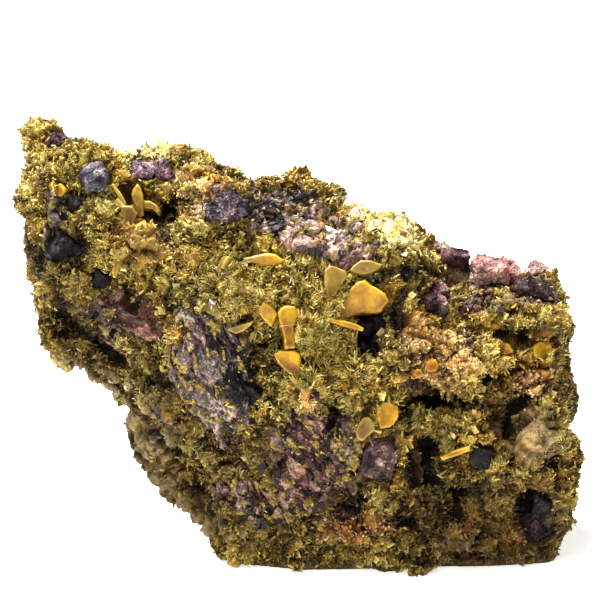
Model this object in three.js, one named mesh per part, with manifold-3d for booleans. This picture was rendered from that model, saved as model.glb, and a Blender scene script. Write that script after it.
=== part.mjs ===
// A hand specimen: wulfenite plates, mimetite needles and fluorite on a broken rock matrix.
// Millimetres, +Z up, +X to the right and -Y towards the crystal-covered front.

import * as THREE from 'three';
import { mergeVertices } from 'three/addons/utils/BufferGeometryUtils.js';
import Module from 'manifold-3d';

const wasm = await Module();
wasm.setup();

// ---- Driving dimensions -------------------------------------------------------------------

const LEFT_END = -32.0;
const RIGHT_END = 32.4;
const END_ROUNDING = 3.2; // how far the broken end faces bulge
const END_SHARE = 0.1; // share of the rings that close each end
const END_POWER = 5; // a high power makes a flat end with a tight rim
const SECTION_POWER = 2.35; // superellipse exponent of the cross section
const BASE_SNAP = 0.25; // whatever lies lower than this belongs to the flat cut
const FOOT_HEIGHT = 1.8; // the relief fades out this far above the cut
const FACET_ROUGHNESS = 0.75; // spread of the rock's points about its smooth lumps
const CLEARANCE = 0.3; // gap between a crystal and what it grows on
const CRUST_RIM_DEPTH = 0.7; // how deep a crust's rim is sunk, and how much deeper each row behind it
const CRUST_BACK_STEP = 1.2;

const ROCK_STATIONS = 43; // rings along X
const ROCK_SPOKES = 39; // points round each ring
const FRONT_CROWDING = 0.5; // how much closer together they are at the front

// Height of the crest and of the underside along X, as [x, z].
const CREST = [
  [-32.4, 51.2], [-30, 52.2], [-27.3, 51.0], [-24.3, 50.3], [-20.7, 49.4], [-18.3, 49.6],
  [-13.4, 48.4], [-9.5, 47.4], [-5.1, 46.0], [0, 47.0], [2.2, 44.4], [4.6, 42.4], [8.7, 41.6],
  [12.0, 40.6], [14.4, 39.0], [16.6, 36.0], [18.4, 34.4],
  [20.2, 33.9], [25, 34.0], [30.8, 33.2], [32.6, 32.0],
];
const UNDERSIDE = [
  [-32.4, 26.8], [-30.5, 25.4], [-28.4, 24.2], [-26.1, 24.1], [-23.6, 23.8], [-22.0, 21.4],
  [-20.5, 17.6], [-19.7, 13.6], [-18.9, 11.2], [-17.2, 9.4], [-15, 7.4], [-12.4, 5.0], [-10.6, 2.6],
  [-9.4, 0.4], [-7.6, -2.6], [0, -4.5], [30, -4.5], [32.6, -4.0],
];

// Depth of the crest line, and how far the front and the back stand from it, as [x, depth].
const CREST_DEPTH = [[-33, -1], [-20, 0.5], [0, 0.5], [10, 3], [16, 5.5], [33.2, 6]];
const FRONT_DEPTH = [
  [-33, 8], [-27, 9.5], [-20, 11.5], [-10, 14.5], [0, 17], [8, 18.5], [15, 20.5], [24, 20],
  [30, 18.5], [33.2, 17],
];
const BACK_DEPTH = [[-33, 8], [-20, 10], [0, 14], [15, 12.5], [33.2, 10]];

// The layout of the front is measured on a plane through LAYOUT_CENTRE that leans back with the
// line of sight, as [across, up] from that centre. A ray from the eye carries it to the rock.
const SIGHT_RISE = THREE.MathUtils.degToRad(12);
const SIGHT_DISTANCE = 400;
const LAYOUT_CENTRE = new THREE.Vector3(0, -10, 33.5);

// Relief of the front: [across, up, half width, half height, turn in degrees, height, flatness].
// A flatness of 1 is a round bump or pit, and 2 or more has a flat floor and steep sides.
const RELIEF = [
  [3.0, -3.6, 5.2, 6.8, 0, 1.6, 1.2], // bush of needles in the middle
  [-3.8, -4.8, 2.2, 1.7, 0, -2.4, 1], // hollow at the foot of the tall blade
  [8.1, -4.2, 1.9, 2.9, 0, -3.0, 1.5], // hollow under the largest plate
  [17.4, -7.4, 5.2, 3.4, -4, 2.6, 2], // sponge-like mound
  [16.8, -12.6, 4.8, 1.5, -3, -4.2, 1.5], // undercut below the mound
  [15.8, -19.2, 2.1, 3.6, 0, -4.6, 1.5], // deep hollow, lower right
  [18.6, -15.3, 5.4, 1.1, 8, 1.3, 1], // needle-covered ridge between the hollows
  [25.4, -13.0, 2.7, 2.6, 0, -4.6, 1.5], // hollow, right
  [24.0, -2.4, 5.6, 1.1, -3, 1.8, 1.5], // ledge, right
  [26.4, -4.9, 3.7, 0.9, 0, -3.8, 1.5], // shadowed slot under the ledge
  [22.6, -9.4, 1.5, 1.3, 0, -3.6, 1],
  [27.4, -15.8, 3.4, 4.2, 0, 1.8, 2], // smooth tan boss
  [4.2, -13.4, 1.8, 2.2, 0, -3.4, 1],
  [0.7, -11.5, 1.7, 1.7, 0, 1.7, 1.5], // brown ball
  [18.8, -24.2, 2.1, 1.8, 0, -3.8, 1.5],
  [-15.4, 11.0, 2.5, 1.8, 0, -3.4, 1.5], // hollow behind the sheaf
  [-16.2, 13.6, 4.4, 1.0, -12, 1.3, 1],
  [-19.1, 6.5, 2.6, 2.7, 0, 2.6, 2], // druse ball
  [-24.0, 8.2, 2.6, 3.1, 0, 1.5, 1.5],
  [-22.8, -5.6, 6.4, 1.1, -38, -3.6, 1.5], // undercut below the front crust
  [-10.2, -8.4, 4.6, 7.8, 14, 1.6, 1.8], // streaked fluorite mass
  [-5.0, -15.6, 1.0, 3.8, 10, -2.0, 1],
  [-8.9, -19.9, 2.8, 0.7, 0, -2.2, 1.5],
  [7.8, -25.3, 3.8, 0.8, 0, -2.8, 1.5],
  [6.0, -27.2, 4.8, 1.8, 0, 1.7, 1.8], // peach lip
  [27.6, -25.2, 2.4, 2.4, 0, -2.4, 1.5],
  [19.6, 2.9, 3.6, 1.6, 0, -2.4, 1.2], // valley before the crystals of the back
  [-21.0, -1.8, 4.6, 3.2, -20, 0.9, 2], // pink cleavage face
  [1.0, 8.4, 8.0, 3.6, -14, 0.9, 1.6], // fluorite band below the crest
  [11.0, 4.0, 3.0, 1.2, -20, 0.9, 1],
  [-12.0, 3.2, 6.0, 2.0, -8, 0.9, 1], // needle mat, left of the middle
];

// Broad lumps of the whole rock: [wave vector x, y, z, phase, height], waves of 4 to 18 mm.
const LUMPS = [
  [0.31, 0.22, -0.17, 0.6, 0.75], [-0.24, 0.37, 0.29, 2.1, 0.65], [0.52, -0.33, 0.41, 4.0, 0.5],
  [-0.47, -0.58, 0.36, 1.2, 0.45], [0.83, 0.41, 0.67, 5.3, 0.36], [-0.72, 0.69, -0.88, 3.4, 0.34],
  [1.21, -0.64, 0.53, 0.9, 0.26], [0.44, 1.07, -1.13, 2.7, 0.26],
];

const COLOURS = {
  rock: [0x9a8544, 0.9],
  wulfenite: [0xd9962a, 0.35],
  paleWulfenite: [0xe3bf62, 0.4],
  coatedWulfenite: [0x9c8440, 0.6],
  fluorite: [0x493653, 0.18],
  pinkFluorite: [0x8f6478, 0.25],
  darkFluorite: [0x231d33, 0.15],
  mimetite: [0xb0a050, 0.7],
};

// ---- Numbers and tables -------------------------------------------------------------------

const clamp01 = (value) => Math.min(1, Math.max(0, value));
const smoothstep = (low, high, value) => {
  const t = clamp01((value - low) / (high - low));
  return t * t * (3 - 2 * t);
};
const signedPower = (value, power) => Math.sign(value) * Math.abs(value) ** power;

// Straight-line reading of a table of [x, value].
function readTable(table, x) {
  let i = 1;
  while (i < table.length - 1 && table[i][0] < x) i += 1;
  const [x0, y0] = table[i - 1];
  const [x1, y1] = table[i];
  return y0 + (y1 - y0) * clamp01((x - x0) / (x1 - x0));
}

// A repeatable number from 0 to 1 for three whole numbers.
function scatter(a, b, c) {
  let n = Math.imul(a + 17, 374761393) ^ Math.imul(b + 29, 668265263);
  n ^= Math.imul(c + 41, 2147483647);
  n = Math.imul(n ^ (n >>> 13), 1274126177);
  return ((n ^ (n >>> 16)) >>> 0) / 4294967296;
}

// ---- The line of sight --------------------------------------------------------------------

const acrossSight = new THREE.Vector3(1, 0, 0);
const alongSight = new THREE.Vector3(0, Math.cos(SIGHT_RISE), -Math.sin(SIGHT_RISE));
const upSight = new THREE.Vector3(0, Math.sin(SIGHT_RISE), Math.cos(SIGHT_RISE));
const eye = LAYOUT_CENTRE.clone().addScaledVector(alongSight, -SIGHT_DISTANCE);

// Where a point of space lies in the layout.
function layoutOf(point) {
  const fromEye = point.clone().sub(eye);
  const scale = SIGHT_DISTANCE / fromEye.dot(alongSight);
  return [fromEye.dot(acrossSight) * scale, fromEye.dot(upSight) * scale];
}

// Unit direction of the ray from the eye through a point of the layout.
function sightRay(across, up) {
  return LAYOUT_CENTRE.clone()
    .addScaledVector(acrossSight, across)
    .addScaledVector(upSight, up)
    .sub(eye)
    .normalize();
}

// ---- The rock -----------------------------------------------------------------------------

// One point of the smooth body: station runs from 0 to 1 along X and angle goes round it, with 0
// at the front and a quarter turn at the crest. The ends close as flat broken faces.
function bodyPoint(station, angle) {
  const fromEnd = Math.min(station, 1 - station) / END_SHARE;
  const scale = fromEnd < 1 ? Math.sin((fromEnd * Math.PI) / 2) : 1;
  const bulge = END_ROUNDING * (1 - (1 - scale ** END_POWER) ** (1 / END_POWER));
  const middle = clamp01((station - END_SHARE) / (1 - 2 * END_SHARE));
  const x = fromEnd < 1
    ? (station < 0.5 ? LEFT_END + bulge : RIGHT_END - bulge)
    : LEFT_END + END_ROUNDING + middle * (RIGHT_END - LEFT_END - 2 * END_ROUNDING);
  const top = readTable(CREST, x);
  const bottom = readTable(UNDERSIDE, x);
  const depth = Math.cos(angle) > 0 ? readTable(FRONT_DEPTH, x) : readTable(BACK_DEPTH, x);
  const outward = signedPower(Math.cos(angle), 2 / SECTION_POWER);
  const upward = signedPower(Math.sin(angle), 2 / SECTION_POWER);
  return new THREE.Vector3(
    x,
    readTable(CREST_DEPTH, x) - depth * scale * outward,
    (top + bottom) / 2 + ((top - bottom) / 2) * scale * upward,
  );
}

// Height of the named relief over the smooth body: it fades out where the body turns from the eye.
function reliefAt(point, normal) {
  const [across, up] = layoutOf(point);
  let height = 0;
  for (const [h, v, halfWidth, halfHeight, turn, rise, flatness] of RELIEF) {
    const c = Math.cos(THREE.MathUtils.degToRad(turn));
    const s = Math.sin(THREE.MathUtils.degToRad(turn));
    const a = ((across - h) * c + (up - v) * s) / halfWidth;
    const b = ((up - v) * c - (across - h) * s) / halfHeight;
    height += rise * Math.exp(-((a * a + b * b) ** flatness));
  }
  return height * smoothstep(0.05, 0.45, -normal.dot(alongSight));
}

function lumpsAt({ x, y, z }) {
  return LUMPS.reduce(
    (sum, [a, b, c, phase, height]) => sum + height * Math.sin(a * x + b * y + c * z + phase),
    0,
  );
}

// A point of the finished rock: the smooth body moved along its normal by the named relief, the
// broad lumps and the roughness of that one point.
function rockPoint(station, angle, roughness) {
  const step = 0.004;
  const point = bodyPoint(station, angle);
  const s0 = clamp01(station - step);
  const s1 = clamp01(station + step);
  const alongX = bodyPoint(s1, angle).sub(bodyPoint(s0, angle));
  const aroundX = bodyPoint(station, angle + step).sub(bodyPoint(station, angle - step));
  const normal = alongX.cross(aroundX).normalize();
  if (normal.lengthSq() < 0.5) normal.set(station < 0.5 ? -1 : 1, 0, 0);
  const height = reliefAt(point, normal) + lumpsAt(point) + roughness;
  return point.addScaledVector(normal, height * smoothstep(0, FOOT_HEIGHT, point.z));
}

// A sphere's rings become the stations along X. Whatever would reach below the cut lies in it.
function makeRock() {
  const geometry = new THREE.SphereGeometry(1, ROCK_SPOKES, ROCK_STATIONS);
  const places = geometry.attributes.position;
  for (let i = 0; i < places.count; i += 1) {
    const row = Math.floor(i / (ROCK_SPOKES + 1));
    const column = (i % (ROCK_SPOKES + 1)) % ROCK_SPOKES;
    const atPole = row === 0 || row === ROCK_STATIONS;
    const turn = atPole ? 0 : column / ROCK_SPOKES;
    const roughness = atPole ? 0 : FACET_ROUGHNESS * (scatter(row, column, 1) - 0.5);
    const angle = 2 * Math.PI * turn - FRONT_CROWDING * Math.sin(2 * Math.PI * turn);
    const point = rockPoint(row / ROCK_STATIONS, angle, roughness);
    if (point.z < BASE_SNAP) point.z = 0;
    places.setXYZ(i, point.x, point.y, point.z);
  }
  return geometry;
}

// ---- Solids -------------------------------------------------------------------------------

function positionsOnly(geometry) {
  const bare = new THREE.BufferGeometry();
  bare.setAttribute('position', geometry.attributes.position.clone());
  if (geometry.index) bare.setIndex(geometry.index.clone());
  return mergeVertices(bare, 1e-4);
}

function toSolid(geometry) {
  const merged = positionsOnly(geometry);
  return new wasm.Manifold(new wasm.Mesh({
    numProp: 3,
    vertProperties: Float32Array.from(merged.attributes.position.array),
    triVerts: Uint32Array.from(merged.index.array),
  }));
}

function toGeometry(solid) {
  const mesh = solid.getMesh();
  const geometry = new THREE.BufferGeometry();
  geometry.setAttribute('position', new THREE.BufferAttribute(Float32Array.from(mesh.vertProperties), 3));
  geometry.setIndex(new THREE.BufferAttribute(Uint32Array.from(mesh.triVerts), 1));
  geometry.computeVertexNormals();
  return geometry;
}

// The closed surface moved outwards by the clearance, as the tool that trims what grows on it.
function swollen(geometry, distance) {
  const merged = positionsOnly(geometry);
  merged.computeVertexNormals();
  const places = merged.attributes.position;
  const normals = merged.attributes.normal;
  for (let i = 0; i < places.count; i += 1) {
    places.setXYZ(
      i,
      places.getX(i) + distance * normals.getX(i),
      places.getY(i) + distance * normals.getY(i),
      places.getZ(i) + distance * normals.getZ(i),
    );
  }
  return merged;
}

// The largest piece of a solid, without the crumbs that a cut leaves.
function largestPiece(solid) {
  return solid.decompose().reduce((best, piece) => (piece.volume() > best.volume() ? piece : best));
}

// ---- Places on the rock -------------------------------------------------------------------

const rockMesh = new THREE.Mesh(positionsOnly(makeRock()));
rockMesh.material.side = THREE.DoubleSide;
const rockSolid = toSolid(rockMesh.geometry);
const rockCutter = toSolid(swollen(rockMesh.geometry, CLEARANCE));
const caster = new THREE.Raycaster();

// The point where the ray through a place of the layout meets the rock, and the face's normal.
// Past the outline of the rock it is the rock's nearest point.
function seatAt(across, up) {
  caster.set(eye, sightRay(across, up));
  const [hit] = caster.intersectObject(rockMesh);
  if (hit) return { point: hit.point, normal: hit.face.normal.clone() };
  const places = rockMesh.geometry.attributes.position;
  const best = { distance: Infinity, point: null };
  for (let i = 0; i < places.count; i += 1) {
    const point = new THREE.Vector3().fromBufferAttribute(places, i);
    const [a, b] = layoutOf(point);
    const distance = Math.hypot(a - across, b - up);
    if (distance < best.distance) Object.assign(best, { distance, point });
  }
  return { point: best.point, normal: alongSight.clone().negate() };
}

// ---- Crystals -----------------------------------------------------------------------------

// A tabular crystal whose outline is given as the layout shows it. The plate turns about the
// upright and leans back about the level line, stands proud of its seat by its front face, and
// its back goes down into the rock as far as thickness says.
function plate({ outline, turn = 0, lean = 0, proud = 1, thickness = 0.7, bevel = 0.14, seat }, grow) {
  const centre = outline.reduce((sum, p) => [sum[0] + p[0], sum[1] + p[1]], [0, 0])
    .map((total) => total / outline.length);
  const [seatAcross, seatUp] = seat ?? centre;
  const middle = seatAt(seatAcross, seatUp).point.addScaledVector(alongSight, -proud - grow);
  const t = THREE.MathUtils.degToRad(turn);
  const l = THREE.MathUtils.degToRad(lean);
  const facing = new THREE.Vector3()
    .addScaledVector(acrossSight, Math.sin(t) * Math.cos(l))
    .addScaledVector(upSight, Math.sin(l))
    .addScaledVector(alongSight, -Math.cos(t) * Math.cos(l));
  const shape = new THREE.Shape(outline.map(([a, b]) => new THREE.Vector2(a, b)));
  const geometry = new THREE.ExtrudeGeometry(shape, {
    depth: thickness + 2 * grow - 2 * bevel,
    steps: 1,
    bevelEnabled: true,
    bevelSegments: 1,
    bevelThickness: bevel,
    bevelSize: bevel + grow,
    bevelOffset: -bevel,
  });
  const places = geometry.attributes.position;
  const reach = middle.clone().sub(eye).dot(facing);
  for (let i = 0; i < places.count; i += 1) {
    const ray = sightRay(places.getX(i), places.getY(i));
    const inward = thickness + 2 * grow - bevel - places.getZ(i);
    const point = eye.clone().addScaledVector(ray, reach / ray.dot(facing));
    point.addScaledVector(facing, -inward);
    places.setXYZ(i, point.x, point.y, point.z);
  }
  return toSolid(geometry);
}

// A cube, with its corners cut off where corners is given, half sunk in its seat.
function cube({ at, size, turns, proud = 0.35, corners }, grow) {
  const { point, normal } = seatAt(...at);
  const rotation = new THREE.Euler(...turns.map(THREE.MathUtils.degToRad));
  const centre = point.addScaledVector(normal.sub(alongSight).normalize(), size * (proud - 0.5));
  const placed = (geometry) => toSolid(
    geometry.applyMatrix4(new THREE.Matrix4().makeRotationFromEuler(rotation))
      .translate(centre.x, centre.y, centre.z),
  );
  const side = size + 2 * grow;
  const body = placed(new THREE.BoxGeometry(side, side, side));
  return corners ? body.intersect(placed(new THREE.OctahedronGeometry(1.5 * corners * side))) : body;
}

// A crust that follows the rock inside a ragged oval of the layout: heightAt(reach, ring, spoke) is
// its height over the rock, where reach runs from 0 in the middle to 1 at the rim. scattered moves
// its points off the even rings and spokes, and its rim and back are sunk.
function crust(size, grow) {
  const { at, halfWidth, halfHeight, turn = 0, rings, spokes, ragged = 0.2, scattered = 0, heightAt } = size;
  const c = Math.cos(THREE.MathUtils.degToRad(turn));
  const s = Math.sin(THREE.MathUtils.degToRad(turn));
  const rows = rings + 2;
  const geometry = new THREE.SphereGeometry(1, spokes, rows);
  const seats = [];
  const places = geometry.attributes.position;
  for (let i = 0; i < places.count; i += 1) {
    const row = Math.floor(i / (spokes + 1));
    const spoke = (i % (spokes + 1)) % spokes;
    const inside = row > 0 && row < rings;
    const spread = inside ? scattered * (scatter(row, spoke, 6) - 0.5) : 0;
    const reach = row <= rings ? (row + spread) / rings : (rows - row) / 2;
    const wobble = 1 + ragged * (scatter(spoke, 3, spokes) - 0.5);
    const swing = inside ? scattered * (scatter(row, spoke, 7) - 0.5) : 0;
    const angle = (2 * Math.PI * (spoke + swing)) / spokes;
    const a = Math.cos(angle) * reach * wobble * (halfWidth + grow);
    const b = Math.sin(angle) * reach * wobble * (halfHeight + grow);
    const { point, normal } = seatAt(at[0] + a * c - b * s, at[1] + a * s + b * c);
    seats.push({ point, normal, row, spoke, reach });
  }
  const lift = seats.reduce((sum, { normal }) => sum.add(normal), new THREE.Vector3())
    .sub(alongSight.clone().multiplyScalar(0.5 * seats.length))
    .normalize();
  seats.forEach(({ point, row, spoke, reach }, i) => {
    const sunk = CRUST_RIM_DEPTH + CRUST_BACK_STEP * (row - rings);
    const height = row < rings ? heightAt(reach, row, row === 0 ? 0 : spoke) + grow : -sunk;
    point.addScaledVector(lift, height);
    places.setXYZ(i, point.x, point.y, point.z);
  });
  return toSolid(geometry);
}

// Wulfenite. The outlines are in the layout, so a plate's place is in its outline.
const WULFENITE = {
  wulfenite_spindle: {
    outline: [
      [-7.0, 5.1], [-5.9, 5.3], [-4.6, 5.6], [-3.8, 5.7], [-2.9, 5.6], [-1.8, 4.8], [-2.4, 4.4], [-3.5, 4.1],
      [-4.6, 4.1], [-5.6, 4.5],
    ],
    lean: 12, proud: 1.6, thickness: 2.0, bevel: 0.25,
  },
  wulfenite_kite: {
    outline: [
      [-4.4, -0.1], [-5.0, -1.1], [-4.9, -1.7], [-4.4, -2.3], [-3.5, -3.2], [-3.1, -2.6], [-2.7, -1.6],
      [-3.1, -1.0], [-3.7, -0.5],
    ],
    turn: -6, lean: 4, proud: 1.8, thickness: 2.2,
  },
  wulfenite_tall_blade: {
    outline: [
      [-2.6, -1.5], [-2.3, -1.0], [-1.6, -0.7], [-0.6, -0.8], [-0.1, -1.3], [-0.2, -2.0], [-0.7, -3.2],
      [-0.6, -4.6], [-0.5, -5.8], [-1.8, -5.9], [-1.9, -4.6], [-2.2, -3.4], [-2.5, -2.4],
    ],
    turn: 6, lean: -3, proud: 2.3, thickness: 2.8,
  },
  wulfenite_low_diamond: {
    outline: [
      [-3.2, -6.5], [-2.5, -6.1], [-1.1, -5.8], [-0.1, -6.5], [0.1, -7.7], [-0.1, -9.4], [-1.3, -8.9],
      [-2.3, -8.0], [-2.9, -7.2],
    ],
    turn: -6, lean: -6, proud: 2.1, thickness: 2.5,
  },
  wulfenite_edge_blade: {
    outline: [
      [2.4, -1.9], [3.6, -2.1], [4.9, -2.4], [6.8, -2.9], [7.7, -3.4], [7.5, -3.8], [5.9, -3.4], [4.0, -2.8],
      [2.4, -2.3],
    ],
    turn: 3, proud: 2.4, thickness: 3.2, bevel: 0.1,
  },
  wulfenite_largest_plate: {
    outline: [
      [4.6, -1.3], [4.6, -0.7], [5.0, -0.3], [6.2, 1.6], [6.8, 2.2], [7.8, 2.5], [8.4, 1.9], [9.2, 1.5],
      [10.2, 0.8], [10.7, -0.1], [9.7, -1.3], [9.1, -1.5], [7.3, -1.5], [6.2, -1.9], [4.9, -2.3],
    ],
    turn: -5, lean: 8, proud: 2.4, thickness: 3.0, bevel: 0.22,
  },
  wulfenite_octagon: {
    outline: [
      [9.7, -12.4], [10.2, -12.2], [10.9, -12.3], [11.8, -12.8], [11.9, -14.0], [11.3, -14.9], [10.8, -15.3],
      [9.6, -15.5], [9.4, -14.8], [9.1, -13.6], [9.3, -12.8],
    ],
    turn: 3, proud: 2.3, thickness: 2.8,
  },
  wulfenite_small_plate: {
    outline: [
      [14.9, -7.4], [15.5, -7.0], [16.3, -7.1], [16.7, -7.8], [16.3, -8.5], [15.4, -8.6], [14.9, -8.2],
    ],
    lean: 15, proud: 1.0, thickness: 1.4,
  },
  wulfenite_smallest_plate: {
    outline: [[13.7, -8.5], [14.0, -8.2], [14.6, -8.4], [14.8, -9.0], [14.2, -9.4], [13.7, -9.1]],
    proud: 0.9, thickness: 1.3, bevel: 0.1,
  },
  wulfenite_leaning_blade: {
    outline: [
      [-21.8, 5.3], [-21.4, 5.2], [-21.3, 4.7], [-21.7, 3.6], [-22.1, 2.6], [-22.5, 2.7], [-22.6, 3.6],
      [-22.2, 4.5],
    ],
    proud: 1.3, thickness: 1.7, bevel: 0.12,
  },
  wulfenite_crest_patch: {
    outline: [
      [-3.2, 13.4], [-2.5, 14.0], [-1.4, 14.2], [-0.4, 13.8], [0.2, 13.2], [-0.7, 12.6], [-2.4, 12.7],
    ],
    lean: 30, proud: 0.7, thickness: 1.2,
  },
  wulfenite_low_right_blade: {
    outline: [[16.8, -18.9], [18.4, -18.1], [20.4, -17.5], [20.4, -18.1], [18.6, -18.8], [17.2, -19.2]],
    turn: -2, proud: 3.4, thickness: 4.2, bevel: 0.1, seat: [18.7, -17.2],
  },
  wulfenite_left_edge: {
    outline: [[-29.6, 13.7], [-28.8, 14.0], [-28.2, 13.2], [-28.7, 12.3], [-29.4, 12.4]],
    turn: -25, proud: 0.7, thickness: 1.1,
  },
  wulfenite_ledge_plate: {
    outline: [[23.6, -5.5], [24.4, -5.0], [25.2, -5.2], [25.6, -6.1], [24.6, -6.6], [23.8, -6.4]],
    lean: 25, proud: 1.1, thickness: 1.8,
  },
  wulfenite_right_edge: {
    outline: [[28.0, -5.5], [28.8, -4.9], [29.6, -5.2], [30.0, -6.2], [29.0, -7.0], [28.1, -6.6]],
    lean: 20, turn: 10, proud: 1.0, thickness: 1.7,
  },
};

const PALE_WULFENITE = {
  wulfenite_left_blade: {
    outline: [
      [-8.8, -3.6], [-8.3, -3.3], [-7.2, -3.0], [-5.6, -2.5], [-5.9, -3.0], [-6.7, -3.7], [-7.7, -4.1],
    ],
    turn: -3, proud: 1.9, thickness: 2.4, bevel: 0.1,
  },
  wulfenite_pale_round: {
    outline: [
      [6.7, -15.5], [7.1, -14.7], [7.7, -14.0], [8.3, -14.0], [8.9, -14.7], [9.0, -15.6], [8.2, -16.3],
      [7.5, -16.9], [7.0, -16.8], [6.7, -16.2],
    ],
    lean: 5, proud: 1.6, thickness: 2.1,
  },
  wulfenite_sliver: {
    outline: [[-9.4, 3.8], [-8.6, 5.3], [-7.9, 5.0], [-8.7, 3.5]],
    turn: 30, proud: 1.3, thickness: 1.8, bevel: 0.1,
  },
};

const COATED_WULFENITE = {
  wulfenite_coated_plate: {
    outline: [
      [3.0, 3.6], [3.6, 4.2], [4.4, 4.0], [5.5, 3.5], [5.7, 2.9], [4.9, 1.7], [4.3, 0.5], [3.8, -0.1],
      [3.2, 0.5], [3.0, 1.9],
    ],
    turn: 8, lean: 8, proud: 1.5, thickness: 2.0,
  },
  wulfenite_upper_plate: {
    outline: [
      [5.9, 3.6], [6.4, 4.2], [7.3, 4.8], [8.4, 4.8], [9.6, 4.4], [9.8, 4.1], [8.9, 3.5], [7.7, 3.1],
      [6.7, 3.3],
    ],
    lean: 16, proud: 1.7, thickness: 2.2,
  },
};

// The sheaf of four blades at the upper left grew together.
const SHEAF = [
  {
    outline: [
      [-19.5, 14.0], [-20.0, 13.3], [-20.2, 12.6], [-20.0, 11.8], [-19.7, 11.0], [-19.4, 9.8], [-18.7, 10.1],
      [-18.8, 11.3], [-18.8, 12.5], [-19.1, 13.5],
    ],
    turn: 5, proud: 2.9, thickness: 3.4, seat: [-19.4, 11.4],
  },
  {
    outline: [
      [-19.1, 11.9], [-18.0, 11.9], [-17.3, 11.5], [-16.8, 10.7], [-17.1, 10.3], [-17.7, 10.9], [-18.2, 11.0],
      [-19.1, 11.0],
    ],
    turn: -4, lean: 6, proud: 2.6, thickness: 3.2, bevel: 0.1, seat: [-19.0, 11.2],
  },
  {
    outline: [
      [-21.5, 11.3], [-20.2, 11.3], [-19.5, 10.4], [-19.8, 9.6], [-20.7, 8.7], [-21.1, 9.0], [-21.2, 9.8],
      [-21.6, 10.9],
    ],
    lean: -4, proud: 2.2, thickness: 2.8,
  },
  {
    outline: [[-22.7, 13.9], [-22.4, 14.0], [-21.5, 12.9], [-20.8, 11.6], [-21.3, 11.1], [-22.0, 12.6]],
    turn: 4, proud: 2.0, thickness: 2.6, bevel: 0.1,
  },
];

// Fluorite cubes with cut corners; a node with several is a group that grew together.
const FLUORITE = {
  fluorite_octagon: [{ at: [-24.6, 14.6], size: 3.3, turns: [18, -28, 12], proud: 0.42, corners: 0.62 }],
  fluorite_black_left: [
    { at: [-28.6, 6.6], size: 3.4, turns: [20, 30, 15], proud: 0.4, corners: 0.8 },
    { at: [-26.7, 6.2], size: 2.2, turns: [50, 10, 40], proud: 0.4 },
  ],
  fluorite_dark_left: [{ at: [-27.0, 11.5], size: 2.0, turns: [35, 20, 40], proud: 0.4 }],
  fluorite_teal: [{ at: [-24.0, 2.8], size: 2.3, turns: [30, 35, 10], proud: 0.45, corners: 0.7 }],
  fluorite_blue: [
    { at: [-8.2, 10.9], size: 3.2, turns: [25, 38, 20], proud: 0.35, corners: 0.8 },
    { at: [-10.4, 10.4], size: 2.4, turns: [48, 15, 5], proud: 0.35 },
  ],
  fluorite_under_plate: [
    { at: [7.7, -3.6], size: 3.2, turns: [12, 10, 14], proud: 0.4, corners: 0.86 },
    { at: [7.7, -5.9], size: 2.7, turns: [20, 32, 8], proud: 0.42, corners: 0.84 },
    { at: [9.7, -2.6], size: 2.0, turns: [38, 22, 30], proud: 0.45 },
  ],
  fluorite_beside_diamond: [{ at: [-5.9, -10.9], size: 2.6, turns: [30, 30, 70], proud: 0.35 }],
  fluorite_low_group: [
    { at: [9.3, -19.1], size: 4.0, turns: [4, 14, 6], proud: 0.4, corners: 0.92 },
    { at: [9.6, -17.4], size: 2.9, turns: [34, 10, 12], proud: 0.42, corners: 0.9 },
  ],
  fluorite_small_cube: [{ at: [21.7, -18.6], size: 2.5, turns: [6, 16, 4], proud: 0.55, corners: 0.88 }],
  fluorite_dark_slot: [{ at: [12.4, 3.0], size: 1.8, turns: [30, 20, 60], proud: 0.45 }],
  fluorite_right_triangle: [
    { at: [27.4, 0.6], size: 3.8, turns: [40, 35, 42], proud: 0.45, corners: 0.7 },
    { at: [29.4, 0.2], size: 2.4, turns: [10, 42, 20], proud: 0.4 },
  ],
  fluorite_low_right: [
    { at: [28.8, -24.4], size: 3.0, turns: [25, 20, 12], proud: 0.4, corners: 0.8 },
    { at: [28.5, -27.4], size: 2.6, turns: [50, 40, 30], proud: 0.35 },
  ],
  fluorite_low_left: [
    { at: [-8.9, -22.6], size: 2.0, turns: [35, 30, 10], proud: 0.35 },
    { at: [-7.2, -23.6], size: 2.0, turns: [12, 50, 35], proud: 0.35 },
  ],
};

const PINK_FLUORITE = {
  fluorite_crest_left: [
    { at: [-19.2, 15.2], size: 2.6, turns: [30, 18, 12], proud: 0.4, corners: 0.8 },
    { at: [-16.9, 15.3], size: 2.5, turns: [55, 32, 25], proud: 0.4 },
  ],
  fluorite_top_left: [{ at: [-29.0, 18.7], size: 2.0, turns: [22, 30, 35], proud: 0.5 }],
  fluorite_column: [
    { at: [18.3, 4.2], size: 3.3, turns: [8, 14, 6], proud: 0.6, corners: 0.84 },
    { at: [18.5, 2.4], size: 3.3, turns: [14, 8, 4], proud: 0.6, corners: 0.9 },
    { at: [20.0, 4.4], size: 2.2, turns: [30, 20, 20], proud: 0.6 },
    { at: [16.6, 5.9], size: 1.9, turns: [20, 10, 40], proud: 0.55, corners: 0.86 },
  ],
  fluorite_back_right: [
    { at: [22.4, 2.6], size: 4.3, turns: [14, 12, 18], proud: 0.5, corners: 0.76 },
    { at: [24.4, 2.9], size: 3.4, turns: [20, 28, 10], proud: 0.5, corners: 0.8 },
    { at: [22.9, -0.4], size: 2.5, turns: [8, 20, 4], proud: 0.45, corners: 0.9 },
    { at: [20.6, -0.5], size: 2.4, turns: [16, 6, 12], proud: 0.45, corners: 0.9 },
  ],
  fluorite_far_right: [{ at: [28.4, 3.2], size: 2.4, turns: [25, 35, 5], proud: 0.45 }],
  fluorite_valley: [
    { at: [16.0, -1.0], size: 2.9, turns: [10, 16, 12], proud: 0.42, corners: 0.86 },
    { at: [16.6, 0.8], size: 2.2, turns: [24, 8, 30], proud: 0.42, corners: 0.9 },
  ],
};

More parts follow.
